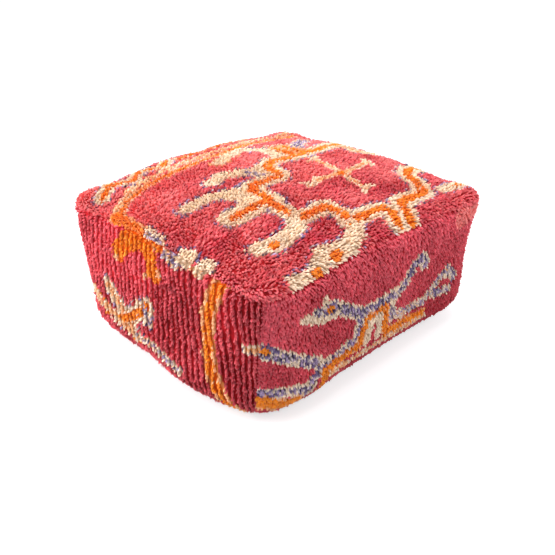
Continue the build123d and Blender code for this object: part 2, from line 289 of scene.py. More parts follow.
def add_stage():
    """A pale floor that keeps the shadow, under a world that lights evenly and looks pale itself."""
    bpy.ops.mesh.primitive_plane_add(size=40)
    floor = bpy.context.object
    floor.name = "floor"
    finish = Finish("floor paper")
    seen = finish.node("ShaderNodeLightPath")
    paper = finish.node("ShaderNodeBsdfDiffuse", None, {"Color": (0.62, 0.62, 0.63, 1)})
    glow = finish.node("ShaderNodeEmission", None, {"Color": WHITE, "Strength": seen * 0.62})
    both = finish.node("ShaderNodeAddShader", None, {0: paper, 1: glow})
    finish.node("ShaderNodeOutputMaterial", None, {"Surface": both})
    floor.data.materials.append(finish.material)

    world = bpy.context.scene.world or bpy.data.worlds.new("studio")
    bpy.context.scene.world = world
    world.use_nodes = True
    air = Nodes(world.node_tree)
    lit = air.node("ShaderNodeBackground", None, {"Color": (0.97, 0.98, 1.0, 1), "Strength": 0.62})
    pale = air.node("ShaderNodeBackground", None, {"Strength": 1.0})
    seen = air.node("ShaderNodeLightPath", output="Is Camera Ray")
    both = air.node("ShaderNodeMixShader", None, {0: seen, 1: lit, 2: pale})
    air.node("ShaderNodeOutputWorld", None, {"Surface": both})


bpy.context.scene.view_settings.view_transform = "Standard"
add_camera()
add_stage()
add_lamp("overhead", (-0.3, 0.2, 2.4), 2.4, 58)
add_lamp("left", (-1.9, 1.6, 1.0), 1.4, 64)
add_lamp("right", (1.8, -1.5, 1.0), 1.4, 21)


# ---------------------------------------------------------------- the cover's form


def half_depth(z):
    """Half the cover's depth at height z: it leans out from the floor to its top corners."""
    return LOW_HALF_Y + (HALF_Y - LOW_HALF_Y) * z / CORNER_EDGE


def dome(x, y):
    """Height of the crown, which is part of a large ball."""
    return HEIGHT - DOME_RADIUS + np.sqrt(DOME_RADIUS**2 - x**2 - y**2)


def rounded(first, second, radius):
    """The distance to where two solids overlap, with the edge between them rounded."""
    a = first + radius
    b = second + radius
    return np.minimum(np.maximum(a, b), 0) + np.hypot(np.maximum(a, 0), np.maximum(b, 0)) - radius


def distance(points):
    """Signed distance from the cover's outside, negative within."""
    x, y, z = np.moveaxis(points, -1, 0)
    share = z / CORNER_EDGE
    half_y = half_depth(z)
    end = np.abs(x) - HALF_X + SAGITTA * (y / half_y) ** 2
    front = np.abs(y) - half_y + SAGITTA * (x / HALF_X) ** 2
    sides = rounded(end, front, LOW_CORNER + (TOP_CORNER - LOW_CORNER) * share)
    crown = np.sqrt(x**2 + y**2 + (z - HEIGHT + DOME_RADIUS) ** 2) - DOME_RADIUS - ears(x, y)
    return rounded(rounded(sides, -z, BOTTOM_ROUND), crown, TOP_ROUND)


def ears(x, y):
    """How far the filling pushes the top corners up past the crown's even curve."""
    share = np.clip((np.abs(x) / HALF_X + np.abs(y) / HALF_Y - 1.5) / 0.36, 0, 1)
    return EAR * share * share * (3 - 2 * share)


def slope(points):
    """The direction in which the distance grows fastest."""
    step = 1e-4
    grown = [distance(points + step * axis) - distance(points - step * axis) for axis in np.eye(3)]
    return np.stack(grown, -1) / (2 * step)


def settled(points, depth):
    """The points moved onto the surface that lies this deep inside the cover."""
    for _ in range(12):
        gradient = slope(points)
        length = np.sum(gradient**2, -1, keepdims=True)
        points = points - (distance(points) + depth)[..., None] * gradient / np.maximum(length, 0.25)
    return points


def side_start(side, across, up_share):
    """Points of one side, before they settle. across runs -1..1 and up_share 0..1, round and then up."""
    arc = 0.3  # of the rows, over the bottom rounding
    angle = np.clip(up_share / arc, 0, 1) * math.pi / 2
    inset = BOTTOM_ROUND * (1 - np.sin(angle))
    low = BOTTOM_ROUND * (1 - np.cos(angle))
    rise = np.clip((up_share - arc) / (1 - arc), 0, 1)
    if side in ("front", "back"):
        top = dome(across * HALF_X, HALF_Y)
        z = low + rise * (top - BOTTOM_ROUND)
        x = across * (HALF_X - inset)
        y = np.minimum(half_depth(z), HALF_Y) - inset
        return np.stack([x, -y if side == "front" else y, z], -1)
    top = dome(HALF_X, across * HALF_Y)
    z = low + rise * (top - BOTTOM_ROUND)
    y = across * (np.minimum(half_depth(z), HALF_Y) - inset)
    x = HALF_X - inset
    return np.stack([-x if side == "left" else x, y, z], -1)


def top_start(across, along):
    """Points of the top, before they settle. across and along run -1..1."""
    x = across * HALF_X
    y = along * HALF_Y
    return np.stack([x, y, dome(x, y)], -1)


def pile_at(z):
    """Height of the pile at height z: it thins out under the cover, towards the base seam."""
    share = np.clip(z / THIN_BELOW, 0, 1)
    return LEAST_PILE + (PILE - LEAST_PILE) * share * share * (3 - 2 * share)


# Where the filling bulges out or falls in: the middle, how far round it, and how much
BULGES = [
    ((-0.290, -0.070, 0.045), 0.080, 0.008),
    ((-0.285, -0.205, 0.030), 0.060, -0.004),
    ((-0.165, -0.255, 0.035), 0.060, 0.006),
    ((0.070, -0.250, 0.030), 0.080, -0.004),
    ((0.265, -0.240, 0.060), 0.060, 0.010),
    ((0.290, -0.245, 0.150), 0.060, 0.004),
    ((-0.295, 0.250, 0.150), 0.080, 0.003),
]


def lift(points):
    """Uneven filling: slow swells all over, then the bulges."""
    x, y, z = np.moveaxis(points, -1, 0)
    swell = 0.0020 * np.sin(11 * x + 4 * y + 1) * np.cos(9 * y - 13 * z + 2)
    swell = swell + 0.0011 * np.sin(27 * x - 19 * y + 31 * z)
    swell = swell * np.clip(z / 0.06, 0, 1)
    for middle, size, amount in BULGES:
        away = np.sum((points - np.array(middle)) ** 2, -1)
        swell = swell + amount * np.exp(-away / size**2)
    return swell


def seam_distance(side, points):
    """Distance along the cloth from each place of a grid to the nearest sewn seam."""
    across = np.linalg.norm(np.diff(points, axis=0), axis=-1)
    along = np.concatenate([np.zeros((1, across.shape[1])), np.cumsum(across, 0)])
    far = np.minimum(along, along[-1] - along)
    if side == "top":
        return far
    up = np.linalg.norm(np.diff(points, axis=1), axis=-1)
    risen = np.concatenate([np.zeros((up.shape[0], 1)), np.cumsum(up, 1)], 1)
    far = np.minimum(far, risen)
    return far if side in ("front", "back") else np.minimum(far, risen[:, -1:] - risen)


def shares(length, low):
    """Even shares of a length, low..1, a little under CELL apart and an odd number of them."""
    return np.linspace(low, 1, 2 * round(length / CELL / 2) + 1)


def build_panels():
    """The five rug panels' grids of places, on the rug's foundation, before the filling pushes it out."""
    across_x = shares(2 * HALF_X, -1)
    across_y = shares(2 * HALF_Y, -1)
    up = shares(HEIGHT + BOTTOM_RUN, 0)
    panels = {}
    for side in ("front", "back"):
        panels[side] = side_start(side, *np.meshgrid(across_x, up, indexing="ij"))
    for side in ("left", "right"):
        panels[side] = side_start(side, *np.meshgrid(across_y, up, indexing="ij"))
    panels["top"] = top_start(*np.meshgrid(across_x, across_y, indexing="ij"))
    for name, points in panels.items():
        outer = settled(points, 0)
        groove = SEAM_DEPTH * np.exp(-((seam_distance(name, outer) / SEAM_WIDTH) ** 2))
        panels[name] = settled(outer, pile_at(outer[..., 2]) + groove - lift(outer))
    joined(panels)
    return panels


def joined(panels):
    """Makes neighbouring panels share the places along their edges."""
    top, front, back = panels["top"], panels["front"], panels["back"]
    left, right = panels["left"], panels["right"]
    front[:, -1], back[:, -1], left[:, -1], right[:, -1] = top[:, 0], top[:, -1], top[0], top[-1]
    front[0], front[-1], back[0], back[-1] = left[0], right[0], left[-1], right[-1]
    for points in panels.values():
        points[..., 2] = np.maximum(points[..., 2], LEAST_LEVEL)


def quads_of(grid, first=0):
    """The faces of a grid whose first place has this number."""
    rows, columns = grid.shape[:2]
    index = np.arange(rows * columns).reshape(rows, columns) + first
    corners = [index[:-1, :-1], index[1:, :-1], index[1:, 1:], index[:-1, 1:]]
    return np.stack(corners, -1).reshape(-1, 4).tolist()


def places_and_faces(grids):
    """All the places of several grids in one list, and the faces between them."""
    faces, first = [], 0
    for grid in grids:
        faces += quads_of(grid, first)
        first += grid.shape[0] * grid.shape[1]
    return np.concatenate([grid.reshape(-1, 3) for grid in grids]), faces


def floor_patch(front, back, left, right):
    """A grid between four rows of places that meet at their ends."""
    u = np.linspace(0, 1, len(front))[:, None, None]
    v = np.linspace(0, 1, len(left))[None, :, None]
    between_rows = (1 - v) * front[:, None] + v * back[:, None]
    between_ends = (1 - u) * left[None] + u * right[None]
    near = (1 - u) * front[0] + u * front[-1]
    far = (1 - u) * back[0] + u * back[-1]
    return between_rows + between_ends - (1 - v) * near - v * far


def base_patch(panels):
    """The places inside the base seam."""
    return floor_patch(*(panels[side][:, 0] for side in ("front", "back", "left", "right")))


def finder(places):
    """Finds the nearest of these places."""
    tree = KDTree(len(places))
    for number, place in enumerate(places):
        tree.insert(place, number)
    tree.balance()
    return tree


def near_any(points, places, reach):
    """Which points lie within reach of any of the places."""
    tree = finder(places)
    return np.array([tree.find(point)[2] < reach for point in points])


def weld(thing, reach):
    """Joins a piece's places that are this near each other, faces it outwards and counts its open edges."""
    form = bmesh.new()
    form.from_mesh(thing.data)
    bmesh.ops.remove_doubles(form, verts=form.verts, dist=reach)
    bmesh.ops.recalc_face_normals(form, faces=form.faces)
    form.to_mesh(thing.data)
    open_edges = sum(len(edge.link_faces) != 2 for edge in form.edges)
    form.free()
    return open_edges


def blown_up(shell, held):
    """How far each place of a cloth shell moves when it is blown up, with the held places kept still."""
    rest = np.array([vertex.co for vertex in shell.data.vertices])
    group = shell.vertex_groups.new(name="sewn")
    group.add(np.flatnonzero(held).tolist(), 1.0, "REPLACE")
    cloth = shell.modifiers.new("filling", "CLOTH")
    setting = cloth.settings
    setting.quality = 5
    setting.mass = 0.4
    setting.tension_stiffness = 25
    setting.compression_stiffness = 25
    setting.shear_stiffness = 10
    setting.bending_stiffness = 8
    setting.vertex_group_mass = "sewn"
    setting.use_pressure = True
    setting.uniform_pressure_force = 1.5
    setting.shrink_min = -0.001
    setting.effector_weights.gravity = 0
    cloth.collision_settings.use_collision = False
    cloth.point_cache.frame_start = 1
    cloth.point_cache.frame_end = FILL_FRAMES
    scene = bpy.context.scene
    for number in range(1, FILL_FRAMES + 1):
        scene.frame_set(number)
    filled = shell.evaluated_get(bpy.context.evaluated_depsgraph_get())
    moved = np.array([vertex.co for vertex in filled.data.vertices]) - rest
    scene.frame_set(1)
    return moved


def stuffed(panels):
    """The panels after filling: the cover is a cloth held along its seams, blown up a little."""
    thin = {side: points[::2, ::2] for side, points in panels.items()}
    shell = mesh_object("cover shell", *places_and_faces([*thin.values(), base_patch(thin)]))
    open_edges = weld(shell, WELD)
    rest = np.array([vertex.co for vertex in shell.data.vertices])
    seams = [thin[side][row] for side in ("left", "right") for row in (0, -1)]
    seams += [thin[side][:, row] for side in ("left", "right") for row in (0, -1)]
    seams += [thin[side][:, 0] for side in ("front", "back")]
    held = near_any(rest, np.concatenate(seams), SEAM_HOLD) | (rest[:, 2] < FLOOR_HOLD)
    moved = blown_up(shell, held)
    length = np.linalg.norm(moved, axis=1, keepdims=True)
    moved *= np.minimum(1, FILL_CAP / np.maximum(length, 1e-9))
    print("filling:", open_edges, "open edges, moved by", np.percentile(length, (5, 50, 95, 100)).round(4))

    tree = finder(rest)
    stuffed_panels = {}
    for side, points in panels.items():
        coarse = thin[side]
        push = moved[[tree.find(place)[1] for place in coarse.reshape(-1, 3)]].reshape(coarse.shape)
        a, b = np.meshgrid(*(np.linspace(0, 1, count) for count in points.shape[:2]), indexing="ij")
        stuffed_panels[side] = points + between(push, a.ravel(), b.ravel()).reshape(points.shape)
    bpy.data.objects.remove(shell)
    joined(stuffed_panels)
    return stuffed_panels


def normals_of(points):
    """Outward normals of a grid of places."""
    along = np.gradient(points, axis=0)
    across = np.gradient(points, axis=1)
    normal = np.cross(along, across)
    normal /= np.linalg.norm(normal, axis=-1, keepdims=True)
    outwards = np.sum(normal * (points - np.array([0, 0, HEIGHT / 2])), -1).mean() > 0
    return normal if outwards else -normal


def between(grid, a, b):
    """Values of a grid at a and b, each 0..1 along its two ways."""
    rows, columns = grid.shape[0] - 1, grid.shape[1] - 1
    a = np.clip(a, 0, 1) * rows
    b = np.clip(b, 0, 1) * columns
    i = np.minimum(a.astype(int), rows - 1)
    j = np.minimum(b.astype(int), columns - 1)
    p = (a - i)[:, None]
    q = (b - j)[:, None]
    low = grid[i, j] * (1 - q) + grid[i, j + 1] * q
    high = grid[i + 1, j] * (1 - q) + grid[i + 1, j + 1] * q
    return low * (1 - p) + high * p


# ---------------------------------------------------------------- the rug's figures

CORAL = colour(255, 150, 146)
RASPBERRY = colour(248, 108, 124)
ROSE = colour(222, 70, 90)
CRIMSON = colour(255, 110, 122)
MAROON = colour(202, 48, 66)
WINE = colour(176, 28, 46)
ORANGE = colour(255, 156, 22)
CREAM = colour(255, 238, 212)
PEACH = colour(255, 202, 150)
LILAC = colour(188, 168, 206)
SLATE = colour(120, 106, 150)
INK = colour(84, 70, 100)
GREY = colour(226, 216, 218)
# Lilac and grey wool is mixed: what else each is worked with
SPECKLES = {LILAC: (LILAC, GREY, SLATE, INK, CREAM), GREY: (GREY, CREAM, LILAC, SLATE, PEACH)}
SPECKLE_SHARES = (0.36, 0.16, 0.24, 0.10, 0.14)

# Each figure is a line in centimetres, the colour and half width of its core, then of its border,
# and the half width out to which stray knots of a third colour reach.
TOP_FIGURES = [
    # the medallion's stepped border
    ([(30, 9.5), (24, 8), (17, 6), (8.7, 5.7), (4, 6), (1, 4.3), (0.3, 0), (-1, -0.8), (-7, -0.7),
      (-8.5, -2.5), (-9, -7), (-10, -9.3), (-10, -15.3), (-3.3, -14.8), (-2.8, -18.7), (-4, -21),
      (4, -21.3), (4.8, -22.8), (2.5, -26)], ORANGE, 0.8, CREAM, 2.1, LILAC, 2.8),
    ([(5.6, -26.4), (9.2, -21.2), (16.7, -20.7), (19.3, -18), (21.3, -13.3), (25.3, -11.3), (30, -10.8)],
     ORANGE, 0.8, CREAM, 2.1, LILAC, 2.8),
    ([(-17.6, -7.3), (-9, -7)], ORANGE, 0.7, CREAM, 2.6, LILAC, 3.3),
    ([(21, 7), (25, 4.5), (23.5, 1.5), (27.5, 0)], PEACH, 0.6, CREAM, 1.8, LILAC, 2.3),
    ([(10.8, 7), (11, 12.5)], ORANGE, 0.6, PEACH, 1.6, CREAM, 2.6),
    ([(14, 7), (13.6, 12.5)], ORANGE, 0.6, PEACH, 1.6, CREAM, 2.6),
    # hooked arms outside the border
    ([(-9.5, -13.5), (-12.5, -17), (-17, -18.2), (-21, -17)], CREAM, 0.8, CREAM, 1.7, LILAC, 2.5),
    ([(-18.9, -18.3), (-18.2, -18)], ORANGE, 0.7, CREAM, 1.9, LILAC, 2.6),
    ([(-3.7, -21), (-6, -24), (-9, -25.3), (-14, -24.3)], CREAM, 0.8, CREAM, 1.6, LILAC, 2.3),
    ([(-12.8, -25.6), (-12, -25.5)], ORANGE, 0.8, CREAM, 1.8, LILAC, 2.4),
    ([(-15.5, -25.2), (-18, -27.5), (-22, -26.6)], CREAM, 0.8, CREAM, 1.6, LILAC, 2.3),
    ([(-18, -26.8), (-17.3, -26.8)], ORANGE, 0.8, CREAM, 1.6, LILAC, 2.3),
    ([(-20.5, 1.3), (-16, 1.8), (-10.5, -0.5)], CREAM, 0.7, CREAM, 1.5, LILAC, 2.6),
    ([(-12.3, -1), (-11.3, -5.5)], CREAM, 0.8, CREAM, 1.8, LILAC, 2.4),
    ([(-10.8, 6.2), (-7.5, 7.2), (-4.5, 5.2), (-1, 4)], CREAM, 0.8, CREAM, 1.6, LILAC, 2.4),
    ([(-3.5, 4.5), (-2.5, 2)], GREY, 0.7, CREAM, 1.6, LILAC, 2.2),
    ([(-3, 13.2), (1, 15), (4, 15.8)], CREAM, 0.7, CREAM, 1.5, PEACH, 2.4),
    ([(7.5, 8.5), (8.5, 12), (6, 15)], CREAM, 0.7, CREAM, 1.4, LILAC, 2.2),
    ([(16, 11), (19, 13.5), (23, 15.2)], LILAC, 0.7, GREY, 1.5, CREAM, 2.2),
    ([(22, -21.5), (30, -21.8)], CREAM, 0.7, CREAM, 1.5, LILAC, 2.2),
    ([(25.6, -21.7), (26.2, -21.7)], ORANGE, 0.6, CREAM, 1.5, LILAC, 2.2),
    # the forked cross in the middle
    ([(11.6, 2.6), (10.7, -2), (9.8, -7), (8.7, -11), (7.7, -14.5)], PEACH, 0.35, CREAM, 0.75, None, 0),
    ([(0.7, -7.4), (5, -6.6), (9.8, -7), (15, -6.5), (19.5, -5.2)], PEACH, 0.35, CREAM, 0.75, None, 0),
    ([(6.4, -15.4), (7.9, -13.8), (10.2, -14)], CREAM, 0.3, CREAM, 0.6, None, 0),
    ([(19.9, -3.7), (18.4, -5.5), (18.6, -7.3)], CREAM, 0.3, CREAM, 0.6, None, 0),
    ([(0.4, -5.7), (2, -7.2), (4.6, -5.1)], CREAM, 0.3, CREAM, 0.6, None, 0),
    ([(13.1, 2.7), (11.4, 1.6), (9.7, 1.9)], CREAM, 0.3, CREAM, 0.6, None, 0),
    ([(9.4, -7), (10.2, -7)], ORANGE, 0.6, PEACH, 1.1, None, 0),
    # bands along the back
    ([(-28.5, 10.5), (-24, 14.5), (-18, 16), (-8, 17), (0, 17.5), (12, 19), (25, 21)],
     ORANGE, 0.35, PEACH, 0.8, CREAM, 1.3),
    ([(-27, 13.5), (-20, 18), (-8, 19.5), (4, 20.2), (16, 22), (26, 23.5)],
     PEACH, 0.3, CREAM, 0.7, PEACH, 1.2),
    ([(-25.5, 20), (-21, 24.3), (-18, 20.8), (-14, 24.6), (-11, 21.3), (-8, 23.8)],
     ORANGE, 0.5, CREAM, 1.5, LILAC, 2.2),
    ([(-6, 22.4), (5, 23.8), (16, 25.2)], ORANGE, 0.3, PEACH, 0.7, CREAM, 1.1),
    # strays along the left seam
    ([(-29, 3.5), (-28.6, 8), (-27.6, 12)], ORANGE, 0.9, PEACH, 1.5, None, 0),
    ([(-29.3, -2), (-28.6, 2)], GREY, 0.7, CREAM, 1.3, SLATE, 1.9),
    ([(-28.8, -8), (-28.4, -9.5)], CREAM, 0.8, CREAM, 1.2, SLATE, 1.7),
    ([(-28.6, -12.6), (-28.2, -13.6)], CREAM, 0.8, CREAM, 1.2, SLATE, 1.6),
]

FRONT_FIGURES = [
    ([(-18.2, 20.6), (-14.5, 20.3), (-10, 17.5), (-7, 15.7), (-1, 15.5), (3.5, 15.5), (5.5, 17.5),
      (6.5, 19.8), (8.5, 20.6), (10.3, 18.8)], LILAC, 0.65, CREAM, 1.35, SLATE, 0.9),
    ([(-20.8, 20.4), (-17.5, 18.9), (-13.5, 18.4)], CREAM, 0.4, CREAM, 0.8, None, 0),
    ([(-15.6, 20.3), (-15, 20.2)], ORANGE, 0.55, SLATE, 1.2, CREAM, 1.6),
    ([(-17, 21.6), (-16.8, 22.8)], CREAM, 0.4, CREAM, 0.65, None, 0),
    ([(-7, 15.7), (-6.9, 12.3), (-7.6, 10.2), (-11, 9.2), (-15, 8.7), (-17, 7.2), (-17.8, 4.5)],
     LILAC, 0.5, CREAM, 1.2, SLATE, 0.8),
    ([(-14.2, 3.2), (-14.3, 7.6), (-10, 8), (-6.2, 8.2), (-5.4, 11.5), (-5, 13.7), (0, 13.7),
      (0.6, 9.6), (1.2, 7.9), (5, 7.8), (9.5, 7.4), (13, 6.8)], ORANGE, 0.75, PEACH, 1.0, None, 0),
    ([(-3.9, 8.4), (-3.7, 12.5), (-1.2, 12.5), (-0.9, 8.2)], CREAM, 0.7, CREAM, 0.95, None, 0),
    ([(2.2, 12.8), (2.6, 10.8), (6, 10.1), (12.5, 9.6)], GREY, 0.5, CREAM, 1.1, LILAC, 0.8),
    ([(13.6, 10.4), (16, 13), (18.6, 14.2), (21.4, 11.6)], GREY, 0.5, CREAM, 1.15, SLATE, 0.9),
    ([(15.6, 9.9), (20, 9.4)], GREY, 0.4, CREAM, 1.0, SLATE, 0.8),
    ([(-12.6, 6), (-6, 5.7), (0, 6.1), (8, 5.6), (14, 5.6)], PEACH, 0.4, CREAM, 0.75, None, 0),
    ([(-31, 17.6), (-27.2, 16.2), (-24, 14.5), (-20, 12), (-16.4, 10)], LILAC, 0.55, CREAM, 1.25, SLATE, 0.9),
    ([(-27.1, 16.4), (-26.5, 16.2)], ORANGE, 0.55, SLATE, 1.2, CREAM, 1.6),
    ([(-31, 8.6), (-26, 7.4), (-22, 6.7), (-18, 5.4)], LILAC, 0.5, CREAM, 1.15, SLATE, 0.8),
    ([(-26, 5.4), (-22.6, 3.6), (-20, 3.4)], ORANGE, 1.0, PEACH, 1.6, None, 0),
    ([(21, 24.5), (25.5, 25.5)], CORAL, 1.6, CORAL, 2.4, None, 0),
]

LEFT_FIGURES = [
    ([(18.6, 28.5), (17, 25.5), (15.4, 22), (14.4, 17.5), (14.4, 12), (14.9, 9), (16, 5), (17.2, 1.5)],
     ORANGE, 0.85, PEACH, 1.75, None, 0),
    ([(-9.6, 21.8), (-7.5, 24.6), (-3, 26.4)], ORANGE, 1.5, ORANGE, 1.8, None, 0),
    ([(-3, 26.4), (0.2, 24.6), (1.0, 21.6)], ORANGE, 1.5, ORANGE, 1.8, None, 0),
    ([(-10.8, 20.4), (-10, 20.8)], PEACH, 0.4, CREAM, 0.6, None, 0),
    ([(-2, 20), (-1, 20.6)], PEACH, 0.4, CREAM, 0.6, None, 0),
    ([(2.2, 21.6), (2.4, 22.6)], PEACH, 0.4, CREAM, 0.6, None, 0),
    ([(-14, 13.6), (-10.8, 11.2), (-7, 8)], PEACH, 0.7, CREAM, 1.6, GREY, 2.2),
    ([(-1.8, 14.2), (-4, 12.3), (-7, 9.9), (-10.8, 7.8)], ORANGE, 0.75, CREAM, 1.7, GREY, 2.5),
    ([(-2.6, 13.4), (-1.4, 11.6)], GREY, 0.7, CREAM, 1.3, SLATE, 1.8),
    ([(-20.8, 10.2), (-16, 8.6), (-11, 7.4), (-6, 6.4)], PEACH, 0.5, CREAM, 1.1, ORANGE, 1.5),
    ([(-6, 6.6), (-1, 6.9), (3, 6.3), (7, 5.6)], GREY, 0.5, CREAM, 1.1, SLATE, 1.2),
    ([(22.4, 16.4), (25, 16.7), (31, 17.6)], PEACH, 0.4, CREAM, 1.0, SLATE, 0.8),
    ([(25.6, 9.6), (31, 8.6)], LILAC, 0.5, CREAM, 1.2, ORANGE, 1.4),
    ([(4.4, 26.6), (6.6, 25.9)], GREY, 0.8, GREY, 1.2, SLATE, 1.5),
    ([(8.2, 27), (9.6, 26.8)], CREAM, 0.8, CREAM, 1.1, SLATE, 1.4),
    ([(11.6, 26.4), (12.8, 26)], CREAM, 0.8, PEACH, 1.0, None, 0),
    ([(2.4, 27.2), (-0.5, 28)], ORANGE, 0.9, PEACH, 1.3, None, 0),
]


def mirrored(figures):
    """The same figures worked the other way round, for the sides that match."""
    return [([(-x, y) for x, y in line], *rest) for line, *rest in figures]


def reach(points, line):
    """Distance from each point to a line of several runs."""
    best = np.full(len(points), np.inf)
    corners = np.array(line, float)
    for start, end in zip(corners[:-1], corners[1:]):
        run = end - start
        share = np.clip((points - start) @ run / (run @ run), 0, 1)
        best = np.minimum(best, np.linalg.norm(points - start - share[:, None] * run, axis=1))
    return best


def clouds(points, size, seed):
    """Smooth random values about -1..1 that change over this size."""
    chance = np.random.default_rng(seed)
    table = chance.uniform(-1, 1, (64, 64))
    place = points / size + 31.5
    whole = np.floor(place).astype(int)
    share = place - whole
    share = share * share * (3 - 2 * share)
    i, j = whole[:, 0] % 64, whole[:, 1] % 64
    i2, j2 = (i + 1) % 64, (j + 1) % 64
    low = table[i, j] * (1 - share[:, 0]) + table[i2, j] * share[:, 0]
    high = table[i, j2] * (1 - share[:, 0]) + table[i2, j2] * share[:, 0]
    return low * (1 - share[:, 1]) + high * share[:, 1]


def dye_and_painted_shade(points, figures, grounds, painted_shade_slope, seed):
    """The colour of each knot: the ground with its painted shade slope, then the figures' strays, borders and
    cores over it.
    """
    chance = np.random.default_rng(seed)
    plan = points * 100
    count = len(plan)
    shift = clouds(plan, 7, seed) * 0.5 + clouds(plan, 2.5, seed + 1) * 0.35 + chance.normal(0, 0.25, count)
    # painted shade: the darker ground gains along a slope over the side, as SIDES gives it
    shift += painted_shade_slope[0] * plan[:, 0] + painted_shade_slope[1] * plan[:, 1] + painted_shade_slope[2]
    mixed = np.clip(0.5 + 0.5 * shift, 0, 1)[:, None]
    wool = np.array(grounds[0]) * (1 - mixed) + np.array(grounds[1]) * mixed
    distances = [reach(plan, line) + chance.normal(0, 0.07, count) for line, *_ in figures]
    for far, (_, _, _, _, _, stray, stray_reach) in zip(distances, figures):
        if stray:
            chosen = (far < stray_reach) & (chance.random(count) < 0.42)
            wool[chosen] = stray
    for far, (_, _, _, border, border_reach, _, _) in zip(distances, figures):
        wool[far < border_reach] = border
    for far, (_, _, _, _, border_reach, stray, stray_reach) in zip(distances, figures):
        if stray and stray_reach < border_reach:
            chosen = (far < stray_reach) & (chance.random(count) < 0.45)
            wool[chosen] = stray
    for far, (_, core, core_reach, _, _, _, _) in zip(distances, figures):
        chosen = (far < core_reach * 1.12) & (chance.random(count) < 0.96)
        wool[chosen] = core
    alike = {dye: np.flatnonzero(np.all(wool == np.array(dye), axis=1)) for dye in SPECKLES}
    for dye, chosen in alike.items():
        picked = chance.choice(len(SPECKLE_SHARES), len(chosen), p=SPECKLE_SHARES)
        wool[chosen] = np.array(SPECKLES[dye])[picked]
    wool[:, :3] *= np.clip(chance.normal(1, 0.10, count), 0.7, 1.3)[:, None]
    wool[:, 3] = 1
    return wool


# What each side is worked in: its figures, its two grounds, and how the second, darker ground gains on
# the first: per centimetre across, per centimetre up or back, and at the middle. On the band and the end
# panels this is painted shade, darker towards the bottom and, on the end panels, towards one upright
# corner; on the top the darker ground gains towards the front and the left.
SIDES = {
    "top": (TOP_FIGURES, (CORAL, ROSE), (-0.004, -0.018, 0.0)),
    "front": (FRONT_FIGURES, (RASPBERRY, MAROON), (0.0, -0.050, 0.70)),
    "back": (mirrored(FRONT_FIGURES), (RASPBERRY, MAROON), (0.0, -0.050, 0.70)),
    "left": (LEFT_FIGURES, (CRIMSON, WINE), (0.018, -0.025, 0.22)),
    "right": (mirrored(LEFT_FIGURES), (CRIMSON, WINE), (-0.018, -0.025, 0.22)),
}


def plan_of(side, places):
    """Where places lie on the flat rug piece: across and up, or across and along for the top."""
    x, y, z = np.moveaxis(places, -1, 0)
    if side == "top":
        return np.stack([x, y], -1)
    if side in ("front", "back"):
        return np.stack([x, z], -1)
    return np.stack([-y, z], -1)


# ---------------------------------------------------------------- wool


def wool_finish(name, depth, root):
    """Wool: painted shade towards each strand's root, a painted highlight at its tip, and fine uneven dye."""
    finish = Finish(name)
    dye = finish.attribute("dye")
    height = finish.attribute("height", output=2)
    grain = finish.noise(finish.place(), 900.0, 2.0, 0.6)
    # painted shade between the tufts, darker and more saturated towards each strand's root: the dye raised to
    # the power depth, times root
    shade_darkened_dye = finish.node("ShaderNodeGamma", None, {"Color": dye, "Gamma": depth})
    root_painted_shade = finish.mix(1.0, shade_darkened_dye, (root, root, root, 1), "MULTIPLY")
    # painted highlight: the tips' dye mixed a tenth of the way to pale pink
    pale = finish.mix(0.10, dye, (1.0, 0.80, 0.78, 1))
    shade = finish.mix(finish.rise(height, 0.1, 0.62), root_painted_shade, dye)
    lit = finish.mix(finish.rise(height, 0.65, 1.0), shade, pale)
    tone = finish.ramp(grain, (0.25, (0.95, 0.84, 0.84, 1)), (0.7, WHITE))
    uneven = finish.mix(1.0, lit, tone, "MULTIPLY")
    return finish.surface(
        Base_Color=uneven, Roughness=0.85, Sheen_Weight=0.22, Sheen_Roughness=0.5, Specular_IOR_Level=0.15
    )


def foundation_finish():
    """The rug's ground weave, coloured as painted shade between the knots, darker where its weave's bump is
    low.
    """
    finish = Finish("rug foundation")
    dye = finish.attribute("dye")
    weave = finish.noise(finish.place(), 700.0, 2.0, 0.6)
    shade_darkened_dye = finish.node("ShaderNodeGamma", None, {"Color": dye, "Gamma": 1.8})
    # painted shade: the dye multiplied down to between a third and three fifths of itself
    dark = finish.mix(weave, (0.34, 0.28, 0.28, 1), (0.62, 0.54, 0.54, 1))
    return finish.surface(Base_Color=finish.mix(1.0, shade_darkened_dye, dark, "MULTIPLY"), Roughness=0.95,
                          Specular_IOR_Level=0.1, Normal=finish.bump(weave, 0.6, 0.0006))


def mesh_object(name, points, faces, material=None):
    """A new piece from its places and faces."""
    mesh = bpy.data.meshes.new(name)
    mesh.from_pydata(points.reshape(-1, 3).tolist(), [], faces)
    mesh.update()
    thing = bpy.data.objects.new(name, mesh)
    bpy.context.scene.collection.objects.link(thing)
    if material:
        mesh.materials.append(material)
    return thing


def store(mesh, name, kind, values):
    """Keeps one value per point of a mesh."""
    field = {"FLOAT_VECTOR": "vector", "FLOAT_COLOR": "color"}.get(kind, "value")
    mesh.attributes.new(name, kind, "POINT").data.foreach_set(field, np.ascontiguousarray(values).ravel())


